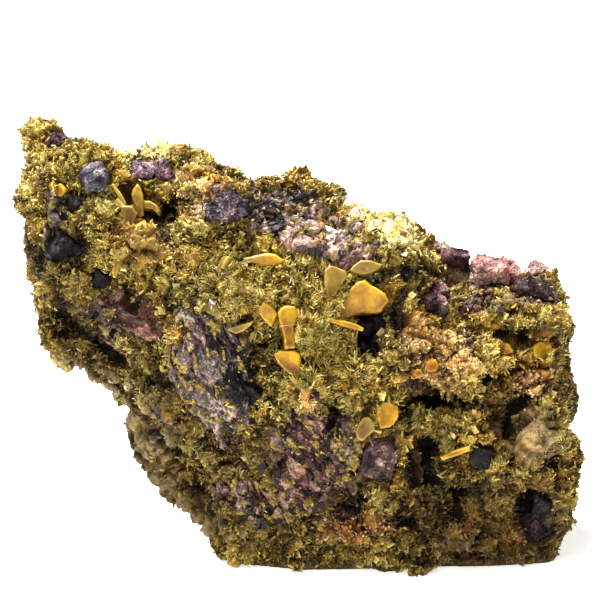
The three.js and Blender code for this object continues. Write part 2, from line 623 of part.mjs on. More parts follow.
// Cleavage faces broken across in steps.
const CLEAVAGE_SPOKES = 12;
const cleavageStep = (reach, ring, spoke) => 0.75 + 0.32 * Math.floor(3 * scatter(ring, spoke >> 1, 5));
const CLEAVAGE = {
  fluorite_pink_face: { at: [-21.2, -1.9], halfWidth: 4.4, halfHeight: 2.8, turn: -22, rings: 3 },
  fluorite_streaked_mass: { at: [-10, -8.6], halfWidth: 4.2, halfHeight: 7.6, turn: 16, rings: 4 },
  fluorite_crest_band: { at: [1.6, 8.6], halfWidth: 7.4, halfHeight: 3.4, turn: -18, rings: 4 },
  fluorite_low_mass: { at: [1.6, -18.0], halfWidth: 3.9, halfHeight: 5.6, turn: 8, rings: 4 },
};

// Mimetite needles radiate from the crust: one point in four of it is drawn out to a tip.
const needleTips = (dome, reachOut) => (reach, ring, spoke) => {
  const isTip = ring % 2 === 1 && spoke % 2 === 0;
  const tip = isTip ? reachOut * (0.6 + 0.6 * scatter(ring, spoke, 9)) : 0;
  return 0.35 + dome * (1 - reach * reach) + tip;
};
const MIMETITE = {
  mimetite_bush: {
    at: [3.4, -3.4], halfWidth: 5.0, halfHeight: 6.4, rings: 5, spokes: 16, scattered: 0.7,
    heightAt: needleTips(0.7, 1.7),
  },
  mimetite_left_mat: {
    at: [-10.2, 3.0], halfWidth: 6.4, halfHeight: 3.2, turn: -8, rings: 4, spokes: 16, scattered: 0.7,
    heightAt: needleTips(0.3, 1.4),
  },
  mimetite_ridge_tuft: {
    at: [18.4, -15.2], halfWidth: 4.2, halfHeight: 1.6, turn: 6, rings: 4, spokes: 12, scattered: 0.7,
    heightAt: needleTips(0.4, 1.4),
  },
  mimetite_low_bush: {
    at: [0.6, -11.0], halfWidth: 3.6, halfHeight: 2.2, turn: -10, rings: 4, spokes: 12, scattered: 0.7,
    heightAt: needleTips(0.4, 1.4),
  },
  mimetite_upper_tuft: {
    at: [-21.6, 11.0], halfWidth: 3.0, halfHeight: 2.2, turn: -20, rings: 4, spokes: 12, scattered: 0.7,
    heightAt: needleTips(0.3, 1.2),
  },
};

// ---- The specimen -------------------------------------------------------------------------

const specimen = new THREE.Group();

function addNode(name, geometry, [colour, roughness]) {
  const material = new THREE.MeshStandardMaterial({ color: colour, roughness, metalness: 0 });
  const mesh = new THREE.Mesh(geometry, material);
  mesh.name = name;
  specimen.add(mesh);
}

// Whatever grows later is trimmed by the rock and by the crystals that stand before it.
const standing = [];

function grow(name, build, finish) {
  const cutters = standing.map(({ cutter }) => cutter);
  const body = [rockCutter, ...cutters].reduce((solid, cutter) => solid.subtract(cutter), build(0));
  standing.push({ name, cutter: build(CLEARANCE) });
  addNode(name, toGeometry(largestPiece(body)), finish);
}

const joined = (solids) => solids.reduce((sum, solid) => sum.add(solid));

addNode('matrix', rockMesh.geometry, COLOURS.rock);
const plateGroups = [
  [WULFENITE, COLOURS.wulfenite],
  [PALE_WULFENITE, COLOURS.paleWulfenite],
  [COATED_WULFENITE, COLOURS.coatedWulfenite],
];
for (const [group, finish] of plateGroups) {
  for (const [name, size] of Object.entries(group)) grow(name, (swell) => plate(size, swell), finish);
}
grow('wulfenite_sheaf', (swell) => joined(SHEAF.map((size) => plate(size, swell))), COLOURS.wulfenite);
for (const [group, finish] of [[FLUORITE, COLOURS.darkFluorite], [PINK_FLUORITE, COLOURS.pinkFluorite]]) {
  for (const [name, cubes] of Object.entries(group)) {
    grow(name, (swell) => joined(cubes.map((size) => cube(size, swell))), finish);
  }
}
for (const [name, size] of Object.entries(CLEAVAGE)) {
  const cleaved = { ...size, spokes: CLEAVAGE_SPOKES, ragged: 0.5, heightAt: cleavageStep };
  grow(name, (swell) => crust(cleaved, swell), COLOURS.fluorite);
}
for (const [name, size] of Object.entries(MIMETITE)) {
  grow(name, (swell) => crust(size, swell), COLOURS.mimetite);
}

// The frame's origin lies in the plane of the cut, under the middle of the specimen.
const box = new THREE.Box3().setFromObject(specimen);
const middle = box.getCenter(new THREE.Vector3());
specimen.position.set(-middle.x, -middle.y, 0);
specimen.updateMatrixWorld(true);

export default specimen;
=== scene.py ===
import math

import bmesh
import bpy
import mathutils
import numpy as np
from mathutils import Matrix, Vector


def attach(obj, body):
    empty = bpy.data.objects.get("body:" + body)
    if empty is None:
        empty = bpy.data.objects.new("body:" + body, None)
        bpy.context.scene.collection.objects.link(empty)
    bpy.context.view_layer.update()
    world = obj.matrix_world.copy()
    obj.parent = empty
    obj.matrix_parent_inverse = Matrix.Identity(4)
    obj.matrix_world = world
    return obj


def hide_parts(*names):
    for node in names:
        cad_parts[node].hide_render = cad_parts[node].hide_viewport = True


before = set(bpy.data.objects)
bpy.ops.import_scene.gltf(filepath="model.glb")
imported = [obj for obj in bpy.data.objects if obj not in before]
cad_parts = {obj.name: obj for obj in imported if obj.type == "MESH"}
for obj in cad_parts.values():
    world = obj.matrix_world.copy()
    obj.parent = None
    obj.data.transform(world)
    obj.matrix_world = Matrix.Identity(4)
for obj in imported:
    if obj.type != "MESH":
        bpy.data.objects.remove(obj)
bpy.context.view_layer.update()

# ---- Studio ------------------------------------------------------------------------------------
# A white table that runs out of sight, a soft light above and a little behind the specimen, a
# broader and weaker one in front of it, and a long lens that looks down on it by twelve degrees.
MM = 0.001
SIGHT_RISE = math.radians(12)
SIGHT_DISTANCE = 400
LENS_MM = 200
SENSOR_MM = 36
LAYOUT_CENTRE = np.array([0.0, -10.0, 33.5])
# The specimen's own millimetres are moved by this much to put its box over the frame's origin.
SHIFT = np.array([-0.1188, 0.5963, 0.0])
ACROSS = np.array([1.0, 0.0, 0.0])
ALONG = np.array([0.0, math.cos(SIGHT_RISE), -math.sin(SIGHT_RISE)])
UPWARD = np.array([0.0, math.sin(SIGHT_RISE), math.cos(SIGHT_RISE)])
EYE = LAYOUT_CENTRE - SIGHT_DISTANCE * ALONG


def stand_at(thing, place, target):
    """Puts a light or camera at one place of the specimen's millimetres, facing another."""
    start, end = Vector((place + SHIFT) * MM), Vector((target + SHIFT) * MM)
    thing.location = start
    thing.rotation_euler = (end - start).to_track_quat("-Z", "Y").to_euler()
    bpy.context.scene.collection.objects.link(thing)


def add_softbox(name, place, side, power, colour):
    """A square area light of a side in metres that faces the middle of the specimen."""
    light = bpy.data.lights.new(name, "AREA")
    light.shape = "SQUARE"
    light.size = side
    light.energy = power
    light.color = colour
    stand_at(bpy.data.objects.new(name, light), np.array(place), LAYOUT_CENTRE)


camera_data = bpy.data.cameras.new("camera")
camera_data.lens = LENS_MM
camera_data.sensor_width = SENSOR_MM
camera_data.clip_start = 0.01
camera = bpy.data.objects.new("camera", camera_data)
stand_at(camera, EYE, LAYOUT_CENTRE)
bpy.context.scene.camera = camera

add_softbox("overhead softbox", (-60, 70, 330), 0.11, 5.45, (1.0, 0.98, 0.95))
add_softbox("front softbox", (-140, -330, 260), 0.25, 1.3, (1.0, 0.99, 0.97))

SKY_STRENGTH = 0.25
sky = bpy.data.worlds.new("white sky")
sky.use_nodes = True
sky.node_tree.nodes["Background"].inputs["Color"].default_value = (1.0, 1.0, 1.0, 1.0)
sky.node_tree.nodes["Background"].inputs["Strength"].default_value = SKY_STRENGTH
bpy.context.scene.world = sky
bpy.context.scene.view_settings.view_transform = "Standard"

TABLE_HALF_SIDE = 3.0
TABLE_GLOW = 0.72
table_mesh = bpy.data.meshes.new("table")
table_corners = TABLE_HALF_SIDE * np.array([[-1, -1, 0], [1, -1, 0], [1, 1, 0], [-1, 1, 0]])
table_mesh.from_pydata(table_corners.tolist(), [], [(0, 1, 2, 3)])
table = bpy.data.objects.new("table", table_mesh)
table_finish = bpy.data.materials.new("white table")
table_finish.use_nodes = True
table_shader = table_finish.node_tree.nodes["Principled BSDF"]
table_shader.inputs["Base Color"].default_value = (0.93, 0.93, 0.92, 1.0)
table_shader.inputs["Roughness"].default_value = 0.7
table_shader.inputs["Emission Color"].default_value = (1.0, 0.99, 0.96, 1.0)
table_shader.inputs["Emission Strength"].default_value = TABLE_GLOW
table_mesh.materials.append(table_finish)
bpy.context.scene.collection.objects.link(table)

# ---- Matrix ------------------------------------------------------------------------------------
# The rock is quartz and limonite with violet fluorite grown through it. It formed as one mass,
# was broken off the vein at the back and both ends, and is cut flat below. Its surface is a loft
# of superellipse sections with lumps, ledges, hollows and broken facets on it.
# Sizes are in the specimen's millimetres: x to the right, y away from the eye and z up.
LEFT_END = -32.0
RIGHT_END = 32.4
END_ROUNDING = 3.2
END_SHARE = 0.1
END_POWER = 5
SECTION_POWER = 2.35
BASE_SNAP = 0.25
FOOT_HEIGHT = 1.8
# Against x: z of the crest and of the underside, y of the crest, and how far the front and the
# back stand from it.
CREST = np.array([
    [-32.4, 51.2], [-30, 52.2], [-27.3, 51.0], [-24.3, 50.3], [-20.7, 49.4], [-18.3, 49.6],
    [-13.4, 48.4], [-9.5, 47.4], [-5.1, 46.0], [0, 47.0], [2.2, 44.4], [4.6, 42.4], [8.7, 41.6],
    [12.0, 40.6], [14.4, 39.0], [16.6, 36.0], [18.4, 34.4], [20.2, 33.9], [25, 34.0],
    [30.8, 33.2], [32.6, 32.0],
])
UNDERSIDE = np.array([
    [-32.4, 26.8], [-30.5, 25.4], [-28.4, 24.2], [-26.1, 24.1], [-23.6, 23.8], [-22.0, 21.4],
    [-20.5, 17.6], [-19.7, 13.6], [-18.9, 11.2], [-17.2, 9.4], [-15, 7.4], [-12.4, 5.0],
    [-10.6, 2.6], [-9.4, 0.4], [-7.6, -2.6], [0, -4.5], [30, -4.5], [32.6, -4.0],
])
CREST_DEPTH = np.array([[-33, -1], [-20, 0.5], [0, 0.5], [10, 3], [16, 5.5], [33.2, 6]])
FRONT_DEPTH = np.array([
    [-33, 8], [-27, 9.5], [-20, 11.5], [-10, 14.5], [0, 17], [8, 18.5], [15, 20.5], [24, 20],
    [30, 18.5], [33.2, 17],
])
BACK_DEPTH = np.array([[-33, 8], [-20, 10], [0, 14], [15, 12.5], [33.2, 10]])

# Lumps and hollows of the front: across, up, half width, half height, turn in degrees, height and
# flatness. Across and up are where the sight line meets the plane of the layout.
RELIEF = [
    (3.0, -3.6, 5.2, 6.8, 0, 1.6, 1.2), (-3.8, -4.8, 2.2, 1.7, 0, -2.4, 1),
    (8.1, -4.2, 1.9, 2.9, 0, -3.0, 1.5), (17.4, -7.4, 5.2, 3.4, -4, 2.6, 2),
    (16.8, -12.6, 4.8, 1.5, -3, -4.2, 1.5), (15.8, -19.2, 2.1, 3.6, 0, -4.6, 1.5),
    (18.6, -15.3, 5.4, 1.1, 8, 1.3, 1), (25.4, -13.0, 2.7, 2.6, 0, -4.6, 1.5),
    (24.0, -2.4, 5.6, 1.1, -3, 1.8, 1.5), (26.4, -4.9, 3.7, 0.9, 0, -3.8, 1.5),
    (22.6, -9.4, 1.5, 1.3, 0, -3.6, 1), (27.4, -15.8, 3.4, 4.2, 0, 1.8, 2),
    (4.2, -13.4, 1.8, 2.2, 0, -3.4, 1), (0.7, -11.5, 1.7, 1.7, 0, 1.7, 1.5),
    (18.8, -24.2, 2.1, 1.8, 0, -3.8, 1.5), (-15.4, 11.0, 2.5, 1.8, 0, -3.4, 1.5),
    (-16.2, 13.6, 4.4, 1.0, -12, 1.3, 1), (-19.1, 6.5, 2.6, 2.7, 0, 2.6, 2),
    (-24.0, 8.2, 2.6, 3.1, 0, 1.5, 1.5), (-22.8, -5.6, 6.4, 1.1, -38, -3.6, 1.5),
    (-10.2, -8.4, 4.6, 7.8, 14, 1.6, 1.8), (-5.0, -15.6, 1.0, 3.8, 10, -2.0, 1),
    (-8.9, -19.9, 2.8, 0.7, 0, -2.2, 1.5), (7.8, -25.3, 3.8, 0.8, 0, -2.8, 1.5),
    (6.0, -27.2, 4.8, 1.8, 0, 1.7, 1.8), (27.6, -25.2, 2.4, 2.4, 0, -2.4, 1.5),
    (19.6, 2.9, 3.6, 1.6, 0, -2.4, 1.2), (-21.0, -1.8, 4.6, 3.2, -20, 0.9, 2),
    (1.0, 8.4, 8.0, 3.6, -14, 0.9, 1.6), (11.0, 4.0, 3.0, 1.2, -20, 0.9, 1),
    (-12.0, 3.2, 6.0, 2.0, -8, 0.9, 1),
]
# Broad lumps: wave vector, phase and height.
LUMPS = [
    (0.31, 0.22, -0.17, 0.6, 0.75), (-0.24, 0.37, 0.29, 2.1, 0.65), (0.52, -0.33, 0.41, 4.0, 0.5),
    (-0.47, -0.58, 0.36, 1.2, 0.45), (0.83, 0.41, 0.67, 5.3, 0.36), (-0.72, 0.69, -0.88, 3.4, 0.34),
    (1.21, -0.64, 0.53, 0.9, 0.26), (0.44, 1.07, -1.13, 2.7, 0.26),
]

# What the rock and the crust on it are made of from place to place of the front, and where light and shade
# are painted on it. Each kind has how far its rims wander, a salt for that noise, and its ovals of the
# layout: across, up, half width and half height, then its turn in degrees and its strength where they
# aren't 0 and 1.
ZONES = {
    "fluorite": (0.3, 31, [
        (-9.0, 11.4, 4.2, 2.2), (-1.2, 10.0, 6.4, 3.2, -15), (4.2, 6.6, 5.4, 3.2, -10),
        (-10.2, -8.4, 4.4, 8.2, 14), (1.8, -18.6, 5.4, 6.8), (9.4, -18.8, 2.8, 3.0),
        (-21.4, -1.9, 4.6, 3.1, -20), (-18.0, 15.4, 2.5, 1.1, -8), (-28.6, 6.6, 2.6, 1.7),
        (-29.4, 19.4, 1.1, 1.0), (-27.0, 11.5, 1.2, 1.0), (18.7, 3.6, 2.0, 2.6), (23.0, 2.6, 3.0, 2.2),
        (16.3, -0.4, 1.4, 1.9), (21.6, -0.6, 2.6, 1.2), (27.4, 1.0, 2.8, 2.0), (28.8, -25.2, 1.8, 3.0),
        (-2.4, -22.8, 6.4, 1.6), (-4.8, -25.4, 3.4, 1.8), (4.8, -10.2, 2.2, 1.6), (8.3, -4.6, 1.6, 2.4),
        (-17.0, -14.5, 1.6, 2.6, 20), (12.4, 3.0, 1.0, 1.0), (-6.4, -23.4, 4.2, 1.8, -6),
        (-13.4, -9.8, 1.7, 5.4, 18), (-28.9, 9.6, 1.6, 3.2),
    ]),
    "sponge": (0.2, 41, [
        (17.0, -7.4, 4.6, 3.8, -4), (6.0, -27.6, 4.4, 1.6), (13.5, -3.8, 1.6, 1.8),
        (27.6, -10.2, 2.2, 1.8), (22.0, -12.4, 1.4, 0.8), (26.5, -28.0, 3.4, 1.3),
    ]),
    # Painted highlight: tops that face the light, laid on as pale crust.
    "pale": (0.2, 51, [
        (9.6, 9.6, 5.4, 2.6, -28), (-13.4, 14.2, 2.6, 0.9, -18), (-19.6, 18.0, 5.0, 0.9, -6),
    ]),
    "grey": (0.25, 61, [
        (-17.4, -19.6, 4.4, 5.0, 30), (-25.4, -8.8, 5.0, 1.6, -20), (-19.4, -13.8, 1.6, 4.2, 10),
        (-12.4, -25.4, 4.6, 2.2, -30),
    ]),
    "boss": (0.15, 66, [
        (27.4, -16.2, 3.2, 3.8), (23.4, -15.4, 0.9, 1.8, 20),
    ]),
    "nodule": (0.1, 76, [
        (-19.1, 6.5, 2.7, 2.8), (0.9, -11.8, 1.5, 1.3), (2.7, -16.4, 0.9, 0.9),
    ]),
    # Hollows between the crystals, almost bare inside, with painted shade near black in them.
    "hollow": (0.55, 81, [
        (-15.1, 10.8, 1.6, 1.5), (-7.2, -1.7, 1.6, 0.8), (-3.1, -5.4, 1.5, 0.8), (7.7, -4.1, 1.6, 2.6),
        (5.4, 1.2, 0.8, 1.0, -30), (11.9, -2.2, 1.0, 1.3), (25.8, -4.4, 2.6, 0.8),
        (22.9, -9.1, 1.5, 0.9), (13.9, -11.8, 1.1, 1.4), (17.8, -12.5, 3.0, 1.0),
        (15.0, -11.4, 2.5, 1.4), (14.8, -18.9, 2.3, 3.3), (26.0, -12.8, 1.9, 0.8, 38),
        (24.9, -14.6, 0.8, 1.9, -16), (19.1, -23.0, 1.7, 0.9), (18.8, -25.7, 1.0, 1.7),
        (27.8, -25.7, 1.8, 2.6), (6.2, -25.0, 1.9, 0.7), (3.7, -13.9, 1.5, 1.5), (-8.3, -20.0, 1.6, 0.5),
        (-20.3, 3.8, 1.2, 0.6), (-15.4, -1.1, 0.6, 0.5), (-28.3, -1.3, 1.3, 1.1),
        (-22.8, -6.2, 6.0, 0.8, -38), (-3.4, -25.6, 2.0, 0.5, 10), (12.4, -26.6, 1.6, 0.8),
    ]),
    "orange": (0.3, 71, [
        (24.4, -5.9, 1.4, 0.7), (29.2, -5.4, 1.4, 1.4), (22.4, -3.2, 1.8, 0.5), (8.6, -10.6, 1.8, 0.8),
        (10.9, 1.2, 1.2, 1.0), (-21.8, 15.2, 2.2, 1.0), (-15.4, -14.2, 0.6, 0.9),
        (-17.8, 9.0, 0.7, 0.6, 0, 0.6), (-11.2, -10.6, 0.8, 1.2),
    ]),
    "rust": (0.4, 91, [
        (14.6, -3.2, 0.9, 1.0), (20.6, -26.2, 1.3, 1.4), (27.5, -28.6, 1.6, 0.7, 0, 0.6),
        (1.2, -20.2, 1.5, 1.3), (-13.4, -13.4, 0.8, 0.8), (-18.6, -9.6, 0.6, 0.7),
        (0.9, -11.6, 1.0, 1.1), (7.6, -26.8, 1.4, 0.7, 0, 0.5), (11.6, -21.6, 0.9, 0.6),
        (-27.8, 8.9, 0.8, 0.6), (17.2, -3.4, 1.2, 0.5),
    ]),
    # Where the low and overhung parts of the front fall in shade, the crust is made browner and darker:
    # partly browner crust, mostly painted shade.
    "brown_and_painted_shade": (0.15, 96, [
        (21.5, -26.4, 11.5, 5.4, 0, 0.95), (17.0, -20.4, 5.0, 4.0, 0, 0.6),
        (13.0, -12.8, 3.4, 2.2, 0, 0.5), (-27.4, 2.4, 4.4, 7.0, 0, 0.75),
        (-25.6, -5.8, 6.4, 2.6, -34, 0.9), (25.0, -11.6, 4.4, 3.4, 0, 0.6),
        (3.6, -14.2, 2.6, 2.2, 0, 0.6), (-7.6, -20.4, 7.0, 5.5, 0, 0.7), (4.4, -24.6, 5.6, 2.8, 0, 0.6),
        (16.4, -10.8, 4.4, 1.2, 0, 0.5), (-4.6, -27.4, 5.4, 1.8, 0, 0.5),
        (-17.0, -17.5, 6.6, 9.0, 34, 0.8), (27.4, -17.0, 5.0, 5.0, 0, 0.35),
        (-19.1, 6.0, 2.4, 2.6, 0, 0.6), (-12.0, -25.4, 5.0, 3.0, -30, 0.8),
        (11.0, -3.0, 2.6, 3.0, 0, 0.4),
    ]),
    # Where the crust is tan to peach, and where it is grey-green and gritty.
    "tan": (0.35, 111, [
        (-11.6, 14.0, 4.2, 1.5, -16), (14.0, -3.0, 2.6, 2.6), (27.4, -9.6, 3.2, 2.6, 0, 0.8),
        (28.0, -4.6, 2.4, 1.6, 0, 0.6), (6.0, -27.0, 5.4, 2.2), (24.0, -27.6, 5.0, 1.8, 0, 0.8),
        (22.4, -15.6, 2.4, 2.4, 0, 0.6), (14.0, 2.8, 2.6, 1.6, 0, 0.5), (-27.0, 8.8, 1.6, 2.0, 0, 0.5),
        (9.0, -9.6, 2.6, 1.6, 0, 0.6), (2.0, 14.6, 4.0, 1.0, 0, 0.5),
    ]),
    "grit": (0.35, 116, [
        (-12.9, 1.4, 2.6, 2.6), (-17.6, -8.4, 2.4, 4.0, 20), (7.4, 5.2, 2.8, 1.4, -20, 0.7),
        (-26.0, 17.4, 3.6, 1.6, 0, 0.8), (18.2, -22.4, 4.4, 2.4, 0, 0.6), (11.4, -7.0, 2.0, 1.6, 0, 0.6),
        (-24.6, -3.6, 3.4, 2.0, -34, 0.6), (3.0, -25.0, 6.0, 2.4, 0, 0.5),
    ]),
}


def smoothstep(low, high, value):
    """0 below low, 1 above high, and a smooth cubic between them."""
    t = np.clip((value - low) / (high - low), 0.0, 1.0)
    return t * t * (3 - 2 * t)


def read_table(table, x):
    """Straight-line reading of a table of x and value."""
    return np.interp(x, table[:, 0], table[:, 1])


def signed_power(value, power):
    """The power of a number's size, with the number's sign."""
    return np.sign(value) * np.abs(value) ** power


def unit(vectors):
    """Each vector divided by its length."""
    return vectors / (np.linalg.norm(vectors, axis=-1, keepdims=True) + 1e-12)


def layout_of(points):
    """Across and up of where the line from the eye to each point meets the layout plane."""
    from_eye = points - EYE
    scale = SIGHT_DISTANCE / (from_eye @ ALONG)
    return (from_eye @ ACROSS) * scale, (from_eye @ UPWARD) * scale


def oval_reach(across, up, row):
    """Squared distance from the middle of a turned oval, where 1 is its rim."""
    h, v, half_width, half_height, turn = (*row, 0)[:5]
    c, s = math.cos(math.radians(turn)), math.sin(math.radians(turn))
    a = ((across - h) * c + (up - v) * s) / half_width
    b = ((up - v) * c - (across - h) * s) / half_height
    return a * a + b * b


def lattice_random(cells, salt):
    """A repeatable number from 0 to 1 for each whole-number cell, by mixing its digits."""
    n = cells[..., 0] * 374761393 + cells[..., 1] * 668265263 + cells[..., 2] * 2147483647
    n = (n + salt * 1013904223) & 0xFFFFFFFF
    n = ((n ^ (n >> 13)) * 1274126177) & 0xFFFFFFFF
    n = ((n ^ (n >> 15)) * 2246822519) & 0xFFFFFFFF
    return (n ^ (n >> 16)) / 4294967296.0


def value_noise(points, wave, salt):
    """Random numbers from -1 to 1 on a cubic lattice of the wave's side, blended smoothly."""
    place = points / wave
    cell = np.floor(place).astype(np.int64)
    t = place - cell
    t = t * t * (3 - 2 * t)
    total = np.zeros(points.shape[:-1])
    for corner in np.ndindex(2, 2, 2):
        share = np.prod(np.where(np.array(corner) == 1, t, 1 - t), axis=-1)
        total += share * lattice_random(cell + np.array(corner), salt)
    return 2 * total - 1


def cells_of(points, side, salt):
    """Nearest of one random seed in each cell of a cubic lattice: the distance to it and to the
    second nearest, the vector from it, and its cell, all in shares of the side."""
    place = points / side
    base = np.floor(place).astype(np.int64)
    first = np.full(points.shape[:-1], np.inf)
    second = first.copy()
    away = np.zeros(points.shape)
    owner = base.copy()
    for offset in np.ndindex(3, 3, 3):
        cell = base + np.array(offset) - 1
        seed = cell + np.stack([lattice_random(cell, salt + k) for k in range(3)], axis=-1)
        reach = np.linalg.norm(place - seed, axis=-1)
        nearer = reach < first
        second = np.where(nearer, first, np.minimum(second, reach))
        first = np.where(nearer, reach, first)
        away = np.where(nearer[..., None], place - seed, away)
        owner = np.where(nearer[..., None], cell, owner)
    return first, second, away, owner


def tilted_facets(points, side, salt):
    """A flat facet in each cell, tilted at random about its seed and stepped up or down: its
    height, the distance to the next cell in shares of the side, and a random tone."""
    first, second, away, owner = cells_of(points, side, salt)
    tilt = np.stack([lattice_random(owner, salt + 11 + k) - 0.5 for k in range(3)], axis=-1)
    step = lattice_random(owner, salt + 17) - 0.5
    return 2.0 * np.sum(away * tilt, axis=-1) + step, second - first, lattice_random(owner, salt + 19)


def domes(points, side, reach, salt):
    """Half balls about the seeds of the cells, 1 high in the middle and 0 beyond their reach."""
    return np.sqrt(np.clip(1 - (cells_of(points, side, salt)[0] / reach) ** 2, 0, 1))


def drawn_out(points, turn, share):
    """The points shrunk to a share along the direction that lies at turn degrees in the layout, so
    that cells laid over them come out that much longer."""
    direction = math.cos(math.radians(turn)) * ACROSS + math.sin(math.radians(turn)) * UPWARD
    return points - (1 - share) * (points @ direction)[..., None] * direction


def bent_by(points, amount, wave, salt):
    """The points moved by a noise of its own along each axis, so that cells over them get uneven."""
    return points + amount * np.stack([value_noise(points, wave, salt + k) for k in range(3)], axis=-1)


def bell(distance, width):
    """1 at a distance of 0, falling off as a bell of the given width."""
    return np.exp(-(distance / width) ** 2)


def zone_mask(points, ragged, salt, ovals):
    """1 inside any of the ovals of the layout, or the oval's strength where it has one, and 0
    outside, with a rim that wanders by ragged."""
    across, up = layout_of(points)
    wander = ragged * (value_noise(points, 1.7, salt) + 0.6 * value_noise(points, 0.7, salt + 1))
    mask = np.zeros(points.shape[:-1])
    for row in ovals:
        strength = row[5] if len(row) > 5 else 1.0
        inside = 1 - smoothstep(0.7, 1.2, np.sqrt(oval_reach(across, up, row)) + wander)
        mask = np.maximum(mask, strength * inside)
    return mask


# The masses lie in the rock; every other crystal stands on it, and the crust keeps clear of it.
MASS_NODES = (
    "fluorite_pink_face", "fluorite_streaked_mass", "fluorite_crest_band", "fluorite_low_mass",
)
SET_IN = 0.3
FAR = 99.0
LEAST_FACET_AREA = 0.001
crystal_hulls = []
for node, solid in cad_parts.items():
    if node.startswith(("wulfenite_", "fluorite_")) and node not in MASS_NODES:
        corners = np.array([vertex.co for vertex in solid.data.vertices]) / MM - SHIFT
        flat_corners = np.unique(np.stack(layout_of(corners), axis=1).round(4), axis=0)
        outline = flat_corners[mathutils.geometry.convex_hull_2d(flat_corners.tolist())]
        shape = bmesh.new()
        for corner in corners:
            shape.verts.new(corner)
        bmesh.ops.convex_hull(shape, input=shape.verts)
        facets = [face for face in shape.faces if face.calc_area() > LEAST_FACET_AREA]
        planes = np.array([[*face.normal, face.normal.dot(face.verts[0].co)] for face in facets])
        shape.free()
        crystal_hulls.append((outline, planes))


def inside_crystals(points):
    """How far inside a crystal's convex outline in the layout each point lies, in millimetres: the
    least distance to the outline's edges, and negative outside all of them."""
    across, up = layout_of(points)
    deepest = np.full(across.shape, -FAR)
    for outline, _ in crystal_hulls:
        onward = np.roll(outline, -1, axis=0)
        spin = np.sign(np.sum(outline[:, 0] * onward[:, 1] - outline[:, 1] * onward[:, 0]))
        reach = np.full(across.shape, FAR)
        for (a, b), (da, db) in zip(outline, onward - outline):
            distance = spin * (da * (up - b) - db * (across - a)) / math.hypot(da, db)
            reach = np.minimum(reach, distance)
        deepest = np.maximum(deepest, reach)
    return deepest


def set_behind_crystals(points):
    """The points moved away from the eye where they would hide a crystal: each one goes along its
    own sight line to a little behind the front of the crystal's convex hull."""
    moved = points.reshape(-1, 3).copy()
    near = np.nonzero(inside_crystals(moved) > -0.05)[0]
    sight = unit(moved[near] - EYE)
    shift = np.zeros(len(near))
    for _, planes in crystal_hulls:
        toward = sight @ planes[:, :3].T
        reach = (planes[:, 3] - moved[near] @ planes[:, :3].T) / np.where(toward == 0, 1e-9, toward)
        enter = np.where(toward < 0, reach, -FAR).max(axis=1)
        leave = np.where(toward > 0, reach, FAR).min(axis=1)
        behind = np.minimum(enter + SET_IN, (enter + leave) / 2)
        shift = np.maximum(shift, np.where((enter < leave) & (leave > 0), behind, 0))
    moved[near] += sight * shift[:, None]
    return moved.reshape(points.shape)


def facing_front(normals):
    """1 where the surface faces the eye and 0 where it turns away."""
    return smoothstep(0.05, 0.45, -(normals @ ALONG))


def smooth_body(stations, angles):
    """Loft along X: station 0 to 1 gives x, and angle gives a superellipse of the section's depth
    and height there, with 0 at the front and a quarter turn at the crest. Both ends shrink to a
    point along a flat curve of power five, which makes a flat broken face with a tight rim."""
    s, angle = np.meshgrid(stations, angles, indexing="ij")
    from_end = np.minimum(s, 1 - s) / END_SHARE
    scale = np.where(from_end < 1, np.sin(np.minimum(from_end, 1) * math.pi / 2), 1.0)
    bulge = END_ROUNDING * (1 - (1 - scale ** END_POWER) ** (1 / END_POWER))
    middle = np.clip((s - END_SHARE) / (1 - 2 * END_SHARE), 0, 1)
    x = LEFT_END + END_ROUNDING + middle * (RIGHT_END - LEFT_END - 2 * END_ROUNDING)
    x = np.where(from_end < 1, np.where(s < 0.5, LEFT_END + bulge, RIGHT_END - bulge), x)
    top, bottom = read_table(CREST, x), read_table(UNDERSIDE, x)
    depth = np.where(np.cos(angle) > 0, read_table(FRONT_DEPTH, x), read_table(BACK_DEPTH, x))
    outward = signed_power(np.cos(angle), 2 / SECTION_POWER)
    upward = signed_power(np.sin(angle), 2 / SECTION_POWER)
    y = read_table(CREST_DEPTH, x) - depth * scale * outward
    z = (top + bottom) / 2 + (top - bottom) / 2 * scale * upward
    return np.stack([x, y, z], axis=-1)


def grid_normals(points):
    """Outward unit normals of a grid of points, by differences along both of its directions."""
    return unit(np.cross(np.gradient(points, axis=0), np.gradient(points, axis=1)))


def lumpy_body(stations, angles):
    """The smooth body moved along its normal by the named relief and by a sum of sine lumps, all
    fading out towards the flat cut."""
    points = smooth_body(stations, angles)
    normals = grid_normals(points)
    across, up = layout_of(points)
    relief = sum(row[5] * np.exp(-(oval_reach(across, up, row) ** row[6])) for row in RELIEF)
    height = relief * facing_front(normals)
    for a, b, c, phase, rise in LUMPS:
        height = height + rise * np.sin(points @ np.array([a, b, c]) + phase)
    fade = smoothstep(0, FOOT_HEIGHT, points[..., 2])
    return points + normals * (height * fade)[..., None], fade


# The low plate on the crest, where neither the rock nor the crust stands before it.
CREST_PLATE_OVAL = (-1.2, 13.4, 1.9, 1.1, 0)
# Sides of the rock's facets, and how far its teeth stand out and its pits and hollows go in.
LARGE_FACET = 4.2
SMALL_FACET = 1.9
CLEAVED_FACET = 1.1
TOOTH_HEIGHT = 1.3
PIT_DEPTH = 0.6
HOLLOW_DEPTH = 1.4


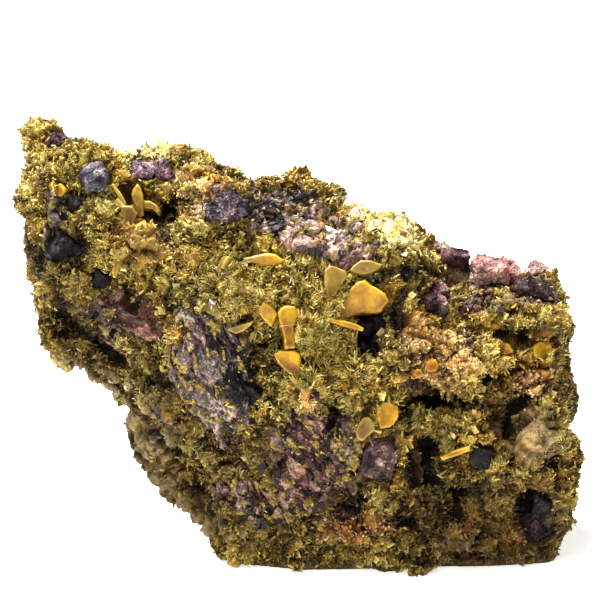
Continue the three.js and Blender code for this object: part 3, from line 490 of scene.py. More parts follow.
def broken_rock(stations, angles):
    """The lumpy body broken into facets: large tilted facets with crevices between them, druse
    lumps with small bumps on them, long cleavage facets where it is fluorite, long rounded teeth
    of quartz where it is grey and pits where it is spongy."""
    points, fade = lumpy_body(stations, angles)
    normals = grid_normals(points)
    front = facing_front(normals)
    masks = {
        name: zone_mask(points, *zone) * (1 if name == "grey" else front) for name, zone in ZONES.items()
    }
    masks["sponge"] *= 1 - masks["fluorite"]
    masks["grey"] *= 1 - masks["sponge"]
    masks["warm"] = 0.5 + 0.5 * (masks.pop("tan") - masks.pop("grit"))
    masks["back"] = (1 - front) ** 2
    fluorite, sponge, grey = masks["fluorite"], masks["sponge"], masks["grey"]
    boss, nodule, hollow = masks["boss"], masks["nodule"], masks["hollow"]
    bent = bent_by(points, 0.35, 1.4, 98)
    plain = (1 - fluorite) * (1 - grey) * (1 - boss)
    large, large_gap, _ = tilted_facets(points, LARGE_FACET, 101)
    small, small_gap, _ = tilted_facets(bent, SMALL_FACET, 131)
    cleaved, cleaved_gap, tone = tilted_facets(drawn_out(bent, -62, 0.6), CLEAVED_FACET, 161)
    masks["tone"] = 0.1 + 0.8 * tone
    masks["hue"] = 0.5 + 0.5 * value_noise(points, 1.3, 165)
    masks["scratch"] = bell(cleaved_gap, 0.05)
    masks["druse"] = 0.5 + 0.6 * value_noise(points, 1.2, 167)
    pit = cells_of(bent, 1.1, 221)[0]
    teeth = domes(drawn_out(bent, -58, 0.5), 1.9, 0.7, 211) + 0.25 * domes(bent, 0.7, 0.75, 215)
    height = 0.6 * large + (0.08 + 0.34 * plain) * small + 0.1
    height -= (0.3 + 0.6 * plain) * bell(large_gap, 0.08) + (0.1 + 0.5 * plain) * bell(small_gap, 0.12)
    height += fluorite * 0.4 * cleaved
    height += plain * (0.5 * domes(bent, 1.6, 0.8, 191) + 0.22 * domes(bent, 0.6, 0.75, 195))
    height += nodule * 0.6 * domes(bent, 1.3, 0.75, 205)
    height += grey * (TOOTH_HEIGHT * teeth + 0.5 * small - 0.6 * bell(small_gap, 0.14) - 0.2)
    height += boss * 0.3 * domes(bent, 0.9, 0.75, 218)
    height -= (sponge + 0.35 * boss) * PIT_DEPTH * bell(pit, 0.3)
    height += 0.09 * value_noise(points, 0.5, 251) - HOLLOW_DEPTH * hollow
    clear = front * smoothstep(-0.2, 0.4, inside_crystals(points))
    height = (height * (1 - clear) - 0.2 * clear) * fade * (0.4 + 0.6 * front)
    # How deep each point lies; the finishes paint light and shade from it.
    masks["depth"] = np.clip(0.55 - 0.5 * height, 0, 1)
    raised = points + normals * height[..., None]
    moving = (front > 0.15) | (oval_reach(*layout_of(raised), CREST_PLATE_OVAL) < 1)
    return np.where(moving[..., None], set_behind_crystals(raised), raised), normals, masks


def weld_tube(rings, spokes):
    """Triangles of a closed tube: rings of points joined to the next one, and a fan at either end
    round one more point."""
    i, j = np.meshgrid(np.arange(rings - 1), np.arange(spokes), indexing="ij")
    a, b = i * spokes + j, i * spokes + (j + 1) % spokes
    quads = np.stack([a, a + spokes, b + spokes, b], axis=-1).reshape(-1, 4)
    spoke = np.arange(spokes)
    turned = (spoke + 1) % spokes
    last = (rings - 1) * spokes
    first_fan = np.stack([np.full(spokes, rings * spokes), spoke, turned], axis=-1)
    last_fan = np.stack([np.full(spokes, rings * spokes + 1), last + turned, last + spoke], axis=-1)
    return np.concatenate([quads[:, [0, 1, 2]], quads[:, [0, 2, 3]], first_fan, last_fan])


def set_values(mesh, values):
    """Writes a value at each point for every named attribute."""
    for key, value in values.items():
        attribute = mesh.attributes.new(key, "FLOAT", "POINT")
        attribute.data.foreach_set("value", value.astype(np.float32).ravel())


def place_piece(name, mesh, finish, replaced=()):
    """The mesh as a piece in its finish. It rides on the one body and stands for
    the nodes that it replaces."""
    mesh.materials.clear()
    mesh.materials.append(finish.material)
    piece = bpy.data.objects.new(name, mesh)
    bpy.context.scene.collection.objects.link(piece)
    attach(piece, "root")
    if replaced:
        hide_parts(*replaced)


def add_piece(name, points, triangles, finish, values, replaced=()):
    """A piece from arrays of points in the specimen's millimetres, of triangles and of values."""
    mesh = bpy.data.meshes.new(name)
    mesh.vertices.add(len(points))
    places = (points + SHIFT) * MM
    places[:, 2] = np.maximum(places[:, 2], 0)
    mesh.vertices.foreach_set("co", places.astype(np.float32).ravel())
    mesh.loops.add(3 * len(triangles))
    mesh.loops.foreach_set("vertex_index", triangles.astype(np.int32).ravel())
    mesh.polygons.add(len(triangles))
    mesh.polygons.foreach_set("loop_start", np.arange(0, 3 * len(triangles), 3, dtype=np.int32))
    mesh.polygons.foreach_set("use_smooth", np.full(len(triangles), False))
    mesh.update(calc_edges=True)
    set_values(mesh, values)
    place_piece(name, mesh, finish, replaced)


def linear(red, green, blue):
    """The linear colour of an sRGB one given from 0 to 255."""
    share = np.array([red, green, blue]) / 255
    value = np.where(share <= 0.04045, share / 12.92, ((share + 0.055) / 1.055) ** 2.4)
    return (*value.tolist(), 1.0)


class Finish:
    """A material with a Principled shader, and short ways to add its nodes."""

    def __init__(self, name, base, roughness, **sockets):
        self.material = bpy.data.materials.new(name)
        self.material.use_nodes = True
        self.tree = self.material.node_tree
        self.shader = self.tree.nodes["Principled BSDF"]
        self.shader.inputs["Base Color"].default_value = linear(*base)
        self.shader.inputs["Roughness"].default_value = roughness
        for key, value in sockets.items():
            self.shader.inputs[key.replace("_", " ")].default_value = value
        self.place = self.tree.nodes.new("ShaderNodeTexCoord").outputs["Object"]

    def join(self, output, socket):
        """Joins an output to a socket of the shader."""
        self.tree.links.new(output, self.shader.inputs[socket])

    def node(self, kind, output, inputs, **settings):
        """Adds a node with its settings. Each of its inputs named here is set to a number or an
        sRGB colour, or joined to another node's output. Gives one of its own outputs."""
        node = self.tree.nodes.new("ShaderNode" + kind)
        for key, value in settings.items():
            setattr(node, key, value)
        for key, value in inputs.items():
            if isinstance(value, bpy.types.NodeSocket):
                self.tree.links.new(value, node.inputs[key])
            else:
                node.inputs[key].default_value = linear(*value) if isinstance(value, tuple) else value
        return node.outputs[output]

    def noise(self, size_mm, detail=3.0, rough=0.55):
        """Noise whose lumps are about size_mm across."""
        scale = 1 / (size_mm * MM)
        return self.node(
            "TexNoise", "Fac", {"Vector": self.place, "Scale": scale, "Detail": detail, "Roughness": rough})

    def value(self, name):
        """An attribute of the mesh."""
        return self.node("Attribute", "Fac", {}, attribute_name=name)

    def ramp(self, output, *stops):
        """Colours along a value: each stop is its place and an sRGB colour."""
        node = self.tree.nodes.new("ShaderNodeValToRGB")
        elements = node.color_ramp.elements
        while len(elements) < len(stops):
            elements.new(0.5)
        for element, (place, colour) in zip(elements, stops):
            element.position = place
            element.color = linear(*colour)
        self.tree.links.new(output, node.inputs["Fac"])
        return node.outputs["Color"]

    def math(self, operation, first, second):
        """A sum, product or other working of two values, each an output or a number."""
        return self.node("Math", "Value", {0: first, 1: second}, operation=operation)

    def spread(self, output, low, high, to_low=0.0, to_high=1.0):
        """A value carried from one range to another and kept inside it."""
        limits = {"From Min": low, "From Max": high, "To Min": to_low, "To Max": to_high}
        return self.node("MapRange", "Result", {"Value": output, **limits})

    def plus(self, tone, output, low, high, to_low, to_high):
        """A tone with another value added, which is carried from one range to another first."""
        return self.math("ADD", tone, self.spread(output, low, high, to_low, to_high))

    def mix(self, share, first, second, blend="MIX"):
        """Two colours mixed by a share, each an output or an sRGB colour."""
        inputs = {0: share, 6: first, 7: second}
        return self.node("Mix", 2, inputs, data_type="RGBA", blend_type=blend)

    def bump(self, output, height_mm):
        """Relief finer than what the mesh holds."""
        inputs = {"Height": output, "Distance": height_mm * MM, "Strength": 1.0}
        self.join(self.node("Bump", "Normal", inputs), "Normal")


def stains_and_painted_shade(finish, colour):
    """The colour stained over broad patches, greener, browner and darker; then painted shade over it,
    browner and darker in the shaded zones and near black in hollows.
    """
    stain = finish.ramp(finish.noise(4.5, 4, 0.65), (0.36, (226, 204, 166)), (0.47, (252, 246, 218)),
                        (0.55, (242, 244, 236)), (0.66, (206, 210, 198)))
    colour = finish.mix(1.0, colour, stain, "MULTIPLY")
    tint = finish.ramp(
        finish.value("warm"), (0.0, (216, 224, 222)), (0.5, (255, 255, 255)), (1.0, (255, 230, 212)))
    colour = finish.mix(1.0, colour, tint, "MULTIPLY")
    dirt = finish.spread(finish.noise(1.6, 5, 0.75), 0.53, 0.64, 0, 0.75)
    colour = finish.mix(dirt, colour, (58, 40, 12))
    # Painted shade: browner and darker over the low and overhung parts that lie in shade.
    colour = finish.mix(finish.value("brown_and_painted_shade"), colour, (144, 132, 110), "MULTIPLY")
    # Painted shade: hollows mixed towards near black.
    return finish.mix(finish.math("MULTIPLY", finish.value("hollow"), 0.8), colour, (26, 17, 7))


def violet_colour(finish, black, violet, lilac, frosted, druse_share):
    """Fluorite: every cleaved block has its own tone and leans to blue or to rose, with fine
    frosted specks, pale scratches and patches of yellow druse."""
    tone = finish.plus(finish.value("tone"), finish.noise(0.3, 5, 0.8), 0.3, 0.72, -0.3, 0.34)
    tone = finish.plus(tone, finish.noise(1.4, 4, 0.65), 0.3, 0.7, -0.16, 0.16)
    colour = finish.ramp(tone, (0.1, black), (0.4, violet), (0.7, lilac), (1.0, frosted))
    lean = finish.ramp(finish.value("hue"), (0.05, (214, 220, 248)), (0.32, (232, 238, 222)),
                       (0.55, (255, 244, 246)), (0.95, (255, 214, 200)))
    colour = finish.mix(1.0, colour, lean, "MULTIPLY")
    colour = finish.mix(finish.math("MULTIPLY", finish.value("scratch"), 0.6), colour, frosted)
    druse = finish.plus(finish.value("druse"), finish.noise(0.7, 5, 0.8), 0.35, 0.68, -0.4, 0.4)
    druse_colour = finish.ramp(
        finish.noise(0.35, 4, 0.75), (0.32, (58, 44, 14)), (0.5, (124, 102, 42)), (0.7, (188, 168, 92)))
    return finish.mix(finish.spread(druse, 0.4, 0.62, 0, druse_share), colour, druse_colour)


rock_finish = Finish("druse covered rock", (120, 100, 42), 0.8, Specular_IOR_Level=0.2)
# Painted light and shade: the rock lighter where it stands out and darker where it lies deep.
painted_depth_shading = rock_finish.spread(rock_finish.value("depth"), 0.1, 0.95, 0.2, -0.34)


def rock_tone(size_mm):
    """Noise with painted light and shade: darker the deeper the rock lies and lighter where it stands out.
    """
    return rock_finish.math("ADD", rock_finish.noise(size_mm, 5, 0.75), painted_depth_shading)


def lay_over(under, name, share, tone, *stops):
    """The rock's colour with a ramp of a tone laid over it where the mask of that name is."""
    over = rock_finish.ramp(tone, *stops)
    return rock_finish.mix(rock_finish.math("MULTIPLY", rock_finish.value(name), share), under, over)


colour = rock_finish.ramp(
    rock_tone(0.9), (0.2, (18, 12, 4)), (0.4, (74, 56, 16)), (0.54, (126, 102, 38)), (0.76, (190, 168, 90)))
patch_rust = rock_finish.spread(rock_finish.noise(3.4, 4, 0.65), 0.57, 0.72)
colour = rock_finish.mix(patch_rust, colour, (98, 60, 20))
colour = lay_over(
    colour, "back", 0.7, rock_tone(1.4), (0.2, (26, 19, 10)), (0.42, (80, 63, 38)), (0.58, (122, 103, 68)),
    (0.8, (176, 158, 120)))
colour = rock_finish.mix(rock_finish.value("fluorite"), colour, violet_colour(
    rock_finish, (14, 9, 11), (44, 33, 36), (86, 70, 66), (164, 146, 134), 0.9))
# Laid over it one after another: the mask, its share, a tone and the colours along that tone.
ROCK_LAYERS = [
    ("sponge", 1.0, rock_tone(0.6), (0.22, (48, 29, 10)), (0.42, (132, 94, 48)), (0.6, (188, 150, 92)),
     (0.8, (238, 214, 160))),
    # Painted highlight on the tops that face the light.
    ("pale", 1.0, rock_finish.noise(1.0, 4, 0.6), (0.3, (214, 190, 122)), (0.58, (255, 246, 200))),
    ("grey", 0.9, rock_tone(1.4), (0.2, (16, 11, 5)), (0.42, (68, 53, 32)), (0.58, (128, 111, 79)),
     (0.78, (198, 182, 148))),
    ("boss", 1.0, rock_tone(1.2), (0.2, (44, 30, 16)), (0.42, (112, 90, 60)), (0.6, (164, 138, 100)),
     (0.82, (216, 192, 150))),
    ("nodule", 0.9, rock_tone(0.8), (0.2, (40, 25, 8)), (0.42, (102, 74, 32)), (0.58, (146, 112, 52)),
     (0.8, (204, 170, 90))),
    ("orange", 0.75, rock_finish.noise(0.6, 3, 0.6), (0.3, (150, 96, 14)), (0.65, (222, 166, 50))),
    ("rust", 0.8, rock_tone(0.6), (0.2, (40, 18, 6)), (0.45, (128, 74, 30)), (0.75, (222, 160, 96))),
]
for name, share, tone, *stops in ROCK_LAYERS:
    colour = lay_over(colour, name, share, tone, *stops)
rock_finish.join(stains_and_painted_shade(rock_finish, colour), "Base Color")
rock_finish.join(rock_finish.spread(rock_finish.value("fluorite"), 0, 1, 0.8, 0.36), "Roughness")
rock_finish.bump(rock_finish.noise(0.22, 4, 0.7), 0.14)

ROCK_RINGS = 330
ROCK_SPOKES = 300
END_RINGS_SHARE = 0.075
# Share of the spokes up to each angle: most of them lie on the front and over the crest.
SPOKE_ANGLES = [-100, -52, 104, 236, 260]
SPOKE_SHARES = [0, 0.14, 0.75, 0.95, 1]
ring_shares = (np.arange(ROCK_RINGS) + 0.5) / ROCK_RINGS
rock_stations = np.interp(
    ring_shares, [0, END_RINGS_SHARE, 1 - END_RINGS_SHARE, 1], [0, END_SHARE, 1 - END_SHARE, 1])
spoke_steps = np.arange(-1, ROCK_SPOKES + 1) / ROCK_SPOKES
rock_angles = np.radians(np.interp(spoke_steps % 1.0, SPOKE_SHARES, SPOKE_ANGLES))
rock_angles += 2 * math.pi * np.floor(spoke_steps)
rock_points, rock_normals, rock_masks = broken_rock(rock_stations, rock_angles)
rock_points, rock_normals = rock_points[:, 1:-1], rock_normals[:, 1:-1]
rock_masks = {key: mask[:, 1:-1] for key, mask in rock_masks.items()}
rock_points[..., 2] = np.where(rock_points[..., 2] < BASE_SNAP, 0.0, rock_points[..., 2])
ends = np.stack([rock_points[0].mean(axis=0), rock_points[-1].mean(axis=0)])
all_points = np.concatenate([rock_points.reshape(-1, 3), ends])
all_masks = {
    key: np.concatenate([mask.ravel(), [mask[0].mean(), mask[-1].mean()]])
    for key, mask in rock_masks.items()
}
add_piece(
    "rock", all_points, weld_tube(ROCK_RINGS, ROCK_SPOKES), rock_finish, all_masks, ["matrix"])

# ---- Mimetite druse ----------------------------------------------------------------------------
# Most of the front carries a yellow-green crust of tiny mimetite crystals. Its grains and short
# prisms grew straight on the rock, crowded together and sticking out every way.
rng = np.random.default_rng(2772)
CLEAR_OF_CUT = 0.6

rock_skin_normals = grid_normals(rock_points)
ring_step = np.linalg.norm(np.gradient(rock_points, axis=0), axis=-1)
spoke_step = np.linalg.norm(np.gradient(rock_points, axis=1), axis=-1)
rock_area = ring_step * spoke_step
standing_clear = 1 - smoothstep(0.0, CLEAR_OF_CUT, BASE_SNAP + CLEAR_OF_CUT - rock_points[..., 2])
rock_across, rock_up = layout_of(rock_points)
rock_front = facing_front(rock_normals)
bare = np.maximum(rock_masks["fluorite"], np.maximum(rock_masks["sponge"], rock_masks["boss"]))
bare = np.maximum(bare, 0.8 * rock_masks["nodule"])


def scatter_on_rock(count, weight, jitter):
    """Random places of the rock, with a chance that follows area times weight, each moved in its
    tangent plane by up to jitter. Gives the points, their normals and their grid numbers."""
    chance = (rock_area * weight * standing_clear).ravel()
    picks = rng.choice(chance.size, count, p=chance / chance.sum())
    points = rock_points.reshape(-1, 3)[picks]
    normals = unit((rock_normals + 0.6 * rock_skin_normals).reshape(-1, 3)[picks])
    offsets = rng.uniform(-jitter, jitter, (count, 3))
    offsets -= normals * np.sum(offsets * normals, axis=1, keepdims=True)
    return points + offsets, normals, picks


def lean_off(normals, most):
    """Directions leaning off the normals by up to most, a share where 1 is about forty degrees."""
    return unit(normals + most * rng.normal(0, 0.6, normals.shape))


def mostly_small(count, least, more):
    """Random sizes from least up to least plus more, most of them near the least."""
    return least + more * rng.random(count) ** 2


def cross_frame(axes):
    """Two unit vectors square to each axis and to each other, turned about it at random."""
    first = unit(np.cross(axes, rng.normal(size=axes.shape)))
    return first, np.cross(axes, first)


def repeated(points, faces):
    """Points of many shapes, as shape by corner by three, and one shape's faces, as flat arrays of
    all points and triangles, with the number of the shape that each point is in."""
    count, corners = points.shape[:2]
    triangles = faces[None] + corners * np.arange(count)[:, None, None]
    return points.reshape(-1, 3), triangles.reshape(-1, 3), np.repeat(np.arange(count), corners)


# A three-sided prism with a point: corners 0 to 2 at the root, 3 to 5 at the shoulder, 6 at the tip.
SPIKE_FACES = np.array([
    [0, 1, 4], [1, 2, 5], [2, 0, 3], [0, 4, 3], [1, 5, 4], [2, 3, 5], [3, 4, 6], [4, 5, 6], [5, 3, 6],
    [0, 2, 1],
])
SHOULDER_WIDTH = 0.85


def spikes(roots, axes, lengths, widths, shoulder=0.75):
    """Pointed prisms: a ring of corners at the root, one at the shoulder's share of the length,
    and the tip. Gives points, triangles, the number of each point's spike and its share along it."""
    first, second = cross_frame(axes)
    angle = (2 * math.pi * np.arange(3) / 3)[:, None, None]
    ring = (np.cos(angle) * first + np.sin(angle) * second) * widths[:, None] / 2
    top = roots + axes * (shoulder * lengths)[:, None] + SHOULDER_WIDTH * ring
    tip = (roots + axes * lengths[:, None])[None]
    corners = np.concatenate([roots + ring, top, tip]).transpose(1, 0, 2)
    along = np.tile(np.repeat([0.0, shoulder, 1.0], [3, 3, 1]), len(roots))
    return *repeated(corners, SPIKE_FACES), along


GOLDEN = (1 + math.sqrt(5)) / 2
GRAIN_CORNERS = unit(np.array([
    [-1, GOLDEN, 0], [1, GOLDEN, 0], [-1, -GOLDEN, 0], [1, -GOLDEN, 0], [0, -1, GOLDEN], [0, 1, GOLDEN],
    [0, -1, -GOLDEN], [0, 1, -GOLDEN], [GOLDEN, 0, -1], [GOLDEN, 0, 1], [-GOLDEN, 0, -1], [-GOLDEN, 0, 1],
]))
GRAIN_FACES = np.array([
    [0, 11, 5], [0, 5, 1], [0, 1, 7], [0, 7, 10], [0, 10, 11], [1, 5, 9], [5, 11, 4], [11, 10, 2],
    [10, 7, 6], [7, 1, 8], [3, 9, 4], [3, 4, 2], [3, 2, 6], [3, 6, 8], [3, 8, 9], [4, 9, 5], [2, 4, 11],
    [6, 2, 10], [8, 6, 7], [9, 8, 1],
])
GRAIN = (GRAIN_CORNERS, GRAIN_FACES)
CHIP_CORNERS = np.array([[x, y, z] for x in (-1, 1) for y in (-1, 1) for z in (-1, 1)]) * 0.5
CHIP_FACES = np.array([
    [0, 1, 3], [0, 3, 2], [4, 6, 7], [4, 7, 5], [0, 4, 5], [0, 5, 1], [2, 3, 7], [2, 7, 6],
    [0, 2, 6], [0, 6, 4], [1, 5, 7], [1, 7, 3],
])
CHIP = (CHIP_CORNERS, CHIP_FACES)


def nuggets(kind, middles, axes, sizes, flat, uneven):
    """One small closed shape of a kind, its corners and faces, at each middle: turned at random
    about its axis, scaled by its size and flattened along the axis, with every corner moved by a
    random share of it. Gives points, triangles and the number of each point's shape."""
    corners, faces = kind
    count = len(middles)
    first, second = cross_frame(axes)
    shape = corners[None] * (1 + uneven * rng.uniform(-1, 1, (count, len(corners), 1)))
    shape = shape * (rng.uniform(0.7, 1.3, (count, 1, 3)) * sizes[:, None, None] * np.array([1, 1, flat]))
    points = (
        middles[:, None] + shape[..., :1] * first[:, None] + shape[..., 1:2] * second[:, None]
        + shape[..., 2:] * axes[:, None])
    return repeated(points, faces)


def mimetite_finish(name, dark, middle, light):
    """Wax-like prisms, each of its own tone, with painted shade darker towards the root and in deep places
    and a painted highlight pale at the tip.
    """
    finish = Finish(name, middle, 0.45, Specular_IOR_Level=0.3)
    # Painted shade at the root and painted highlight at the tip.
    tone = finish.math("MULTIPLY", finish.value("along"), 0.55)
    tone = finish.plus(tone, finish.value("tone"), 0, 1, -0.12, 0.44)
    tone = finish.plus(tone, finish.noise(1.5, 4, 0.7), 0.3, 0.7, -0.2, 0.2)
    # Painted light and shade: lighter where the rock stands out, darker where it lies deep.
    tone = finish.plus(tone, finish.value("depth"), 0.15, 0.9, 0.2, -0.4)
    colour = finish.ramp(tone, (0.08, dark), (0.45, middle), (0.98, light))
    finish.join(stains_and_painted_shade(finish, colour), "Base Color")
    return finish


CRYSTAL_RIM = 0.25


def before_crystal(points):
    """True for each point that would stand in front of a crystal as the layout shows it."""
    before_plate = oval_reach(*layout_of(points), CREST_PLATE_OVAL) < 1
    return before_plate | (inside_crystals(points) > CRYSTAL_RIM)


def rock_values(number, picks):
    """The rock's stains and its painted light and shade at the root of each small crystal, for all of its
    points.
    """
    return {key: rock_masks[key].ravel()[picks][number] for key in ("hollow", "brown_and_painted_shade", "depth", "warm")}


GRAINS = 7500
hollow = rock_masks["hollow"]
grain_weight = (0.25 + rock_front) * (1 - 0.85 * bare) * (1 - 0.8 * rock_masks["grey"])
grain_weight *= (1 - 0.6 * rock_masks["pale"]) * (1 - 0.8 * hollow)
roots, normals, picks = scatter_on_rock(GRAINS, grain_weight, 0.15)
grain_sizes = mostly_small(GRAINS, 0.09, 0.2)
kept = ~before_crystal(roots)
points, triangles, number = nuggets(
    GRAIN, roots[kept], lean_off(normals[kept], 1.0), grain_sizes[kept], 1.2, 0.2)
grain_finish = mimetite_finish("mimetite grains", (46, 34, 11), (120, 98, 40), (212, 194, 114))
add_piece(
    "mimetite_grains", points, triangles, grain_finish,
    {"tone": rng.random(GRAINS)[kept][number], "along": np.full(len(points), 0.45),
     **rock_values(number, picks[kept])})

# Flat crystals stand on edge among the grains, with painted light on their outer halves and painted shade
# on their inner halves.
FLAKES = 4200
roots, normals, picks = scatter_on_rock(FLAKES, grain_weight, 0.2)
flake_sizes = mostly_small(FLAKES, 0.3, 0.5) * (0.6 + 0.4 * rock_front.ravel()[picks])
kept = ~before_crystal(roots)
points, triangles, number = nuggets(
    CHIP, (roots + 0.2 * flake_sizes[:, None] * normals)[kept],
    cross_frame(lean_off(normals, 0.6))[0][kept], flake_sizes[kept], 0.28, 0.3)
outward = np.sum((points - roots[kept][number]) * normals[kept][number], axis=1)
add_piece(
    "mimetite_flakes", points, triangles, grain_finish,
    {"tone": rng.random(FLAKES)[kept][number], "along": 0.3 + 0.75 * (outward > 0.15),
     **rock_values(number, picks[kept])})

# The prisms are three pieces side by side, each over its own stretch of the rock.
PRISMS = 18500
PRISM_PIECES = {"left": (-40, -10.5), "middle": (-10.5, 9.5), "right": (9.5, 40)}
prism_weight = (0.12 + rock_front) * (1 - 0.88 * bare) * (1 - 0.92 * rock_masks["grey"])
prism_weight *= (1 - 0.9 * rock_masks["pale"]) * (1 - 0.75 * hollow)
prism_finish = mimetite_finish("mimetite prisms", (36, 26, 9), (124, 101, 37), (240, 222, 136))
for side, (low, high) in PRISM_PIECES.items():
    stretch = (rock_points[..., 0] > low) & (rock_points[..., 0] <= high)
    roots, normals, picks = scatter_on_rock(PRISMS, prism_weight * stretch, 0.15)
    axes = lean_off(normals, 1.3)
    lengths = mostly_small(PRISMS, 0.28, 0.7) * (0.5 + 0.5 * rock_front.ravel()[picks])
    kept = ~(before_crystal(roots) | before_crystal(roots + axes * lengths[:, None]))
    points, triangles, number, along = spikes(
        (roots - 0.1 * axes)[kept], axes[kept], lengths[kept], mostly_small(PRISMS, 0.08, 0.17)[kept])
    add_piece(
        "mimetite_prisms_" + side, points, triangles, prism_finish,
        {"tone": rng.random(PRISMS)[kept][number], "along": along, **rock_values(number, picks[kept])})

# ---- Mimetite needles --------------------------------------------------------------------------
# In the middle and on the ridges the mimetite grew as sheaves of straw-yellow needles up to two
# millimetres long, which spread from a common root and cross those of their neighbours.
# Each row: across, up, half width, half height, turn, sheaves, needles a sheaf and length.
TUFT_ZONES = [
    (1.6, -2.2, 4.0, 4.6, 0, 120, 22, 1.9), (5.2, -6.6, 3.0, 4.6, 0, 70, 22, 1.7),
    (-9.4, 3.0, 6.6, 3.2, -8, 150, 18, 1.0), (18.2, -15.0, 4.4, 1.7, 6, 60, 18, 1.1),
    (0.6, -10.4, 3.4, 1.8, -10, 36, 16, 1.1), (-21.6, 11.2, 3.4, 2.6, -20, 40, 16, 0.9),
    (-5.6, -1.0, 2.6, 2.6, 0, 40, 20, 1.5), (8.8, 6.0, 3.6, 1.6, -20, 30, 16, 0.9),
    (-14.6, 9.4, 3.0, 2.0, 0, 24, 16, 1.1), (24.2, -20.6, 3.4, 1.4, -8, 36, 16, 0.9),
    (8.6, -11.0, 2.6, 1.4, 0, 26, 14, 0.9), (-25.0, 8.0, 3.0, 3.4, 0, 20, 14, 0.8),
]
# How far the needles of a sheaf lean apart and stand apart at the root, and their widths.
SHEAF_LEAN = 0.34
SHEAF_WIDTH = 0.13
NEEDLE_WIDTHS = (0.07, 0.14)
tuft_roots, tuft_normals, tuft_lengths, tuft_counts = [], [], [], []
for row in TUFT_ZONES:
    weight = np.exp(-oval_reach(rock_across, rock_up, row) ** 2) * rock_front * (1 - 0.9 * hollow)
    roots, normals, _ = scatter_on_rock(row[5], weight, 0.2)
    tuft_roots.append(roots)
    tuft_normals.append(normals)
    tuft_lengths.append(np.full(row[5], row[7]) * rng.uniform(0.7, 1.15, row[5]))
    tuft_counts.append(np.full(row[5], row[6]))
tuft_counts = np.concatenate(tuft_counts)
tuft_of = np.repeat(np.arange(len(tuft_counts)), tuft_counts)
tuft_normals = np.concatenate(tuft_normals)
tuft_axes = unit(0.7 * tuft_normals + unit(rng.normal(size=tuft_normals.shape)))
needle_axes = unit(tuft_axes[tuft_of] + SHEAF_LEAN * rng.normal(size=(len(tuft_of), 3)))
sunk = np.sum(needle_axes * tuft_normals[tuft_of], axis=1, keepdims=True)
needle_axes = unit(needle_axes - tuft_normals[tuft_of] * np.minimum(sunk - 0.1, 0) * 1.6)
needle_lengths = np.concatenate(tuft_lengths)[tuft_of] * rng.uniform(0.5, 1.15, len(tuft_of))
needle_roots = (
    np.concatenate(tuft_roots)[tuft_of] + rng.normal(0, SHEAF_WIDTH, (len(tuft_of), 3))
    + 0.15 * tuft_normals[tuft_of])
needle_tips = needle_roots + needle_axes * needle_lengths[:, None]
kept = ~(before_crystal(needle_roots) | before_crystal(needle_tips))
points, triangles, number, along = spikes(
    needle_roots[kept], needle_axes[kept], needle_lengths[kept],
    rng.uniform(*NEEDLE_WIDTHS, len(tuft_of))[kept], shoulder=0.85)
sheaf_tones = rng.random(len(tuft_counts))
needle_tones = (0.5 * rng.random(len(tuft_of)) + 0.5 * sheaf_tones[tuft_of])[kept]
# Needles stand clear of the rock, so neither its stains nor its painted light and shade reach them.
UNSTAINED_UNSHADED = {"hollow": 0.0, "brown_and_painted_shade": 0.0, "depth": 0.4, "warm": 0.5}
add_piece(
    "mimetite_needles", points, triangles,
    mimetite_finish("mimetite needles", (66, 50, 15), (148, 123, 47), (242, 226, 148)),
    {"tone": needle_tones[number], "along": along,
     **{key: np.full(len(points), value) for key, value in UNSTAINED_UNSHADED.items()}},
    ["mimetite_bush", "mimetite_left_mat", "mimetite_ridge_tuft", "mimetite_low_bush",
     "mimetite_upper_tuft"])

# ---- Fluorite in the matrix --------------------------------------------------------------------
# Violet fluorite was crushed and healed in the rock: its masses show stepped cleavage faces, and
# broken cubes of it, with sharp edges and bright flats, stand in the druse around them.
def fluorite_finish(name, black, violet, lilac, frosted, roughness, druse_share):
    """Glassy violet fluorite with frosted specks, and druse in patches."""
    finish = Finish(name, violet, roughness, IOR=1.434, Specular_IOR_Level=0.12)
    finish.join(violet_colour(finish, black, violet, lilac, frosted, druse_share), "Base Color")
    finish.join(finish.spread(finish.noise(0.7, 3), 0.35, 0.65, roughness, roughness + 0.35), "Roughness")
    finish.bump(finish.noise(0.25, 4, 0.75), 0.06)
    return finish


def broken_finish(name, base, roughness, cloud_mm, sway, *stops, **sockets):
    """Broken grains, each of its own tone, moved up and down by sway in clouds of cloud_mm."""
    finish = Finish(name, base, roughness, **sockets)
    tone = finish.plus(finish.value("tone"), finish.noise(cloud_mm, 3), 0.3, 0.7, -sway, sway)
    finish.join(finish.ramp(tone, *stops), "Base Color")
    return finish


CHIPS = 800
roots, normals, _ = scatter_on_rock(CHIPS, rock_masks["fluorite"] * (0.3 + rock_front), 0.25)
chip_sizes = mostly_small(CHIPS, 0.3, 0.7)
points, triangles, number = nuggets(
    CHIP, roots - 0.22 * normals * chip_sizes[:, None], unit(rng.normal(size=(CHIPS, 3))), chip_sizes,
    0.7, 0.25)
chip_finish = broken_finish(
    "fluorite chips", (46, 34, 38), 0.25, 3.0, 0.2, (0.05, (10, 7, 9)), (0.42, (32, 23, 27)),
    (0.74, (66, 50, 51)), (0.97, (106, 88, 84)), IOR=1.434, Specular_IOR_Level=0.2)
add_piece(
    "fluorite_chips", points, triangles, chip_finish, {"tone": rng.random(CHIPS)[number]})

# The rock's section faces forwards between these angles, low on the front and just over the crest.
FRONT_ANGLES = np.radians([-60, 112])
# Steps of a patch each way, how deep its skin dives at the rim and how much more further out, and
# how far below the skin its second sheet lies.
PATCH_STEPS = 150
RIM_DIVE = 0.7
FAR_DIVE = 1.2
PATCH_THICKNESS = 1.0


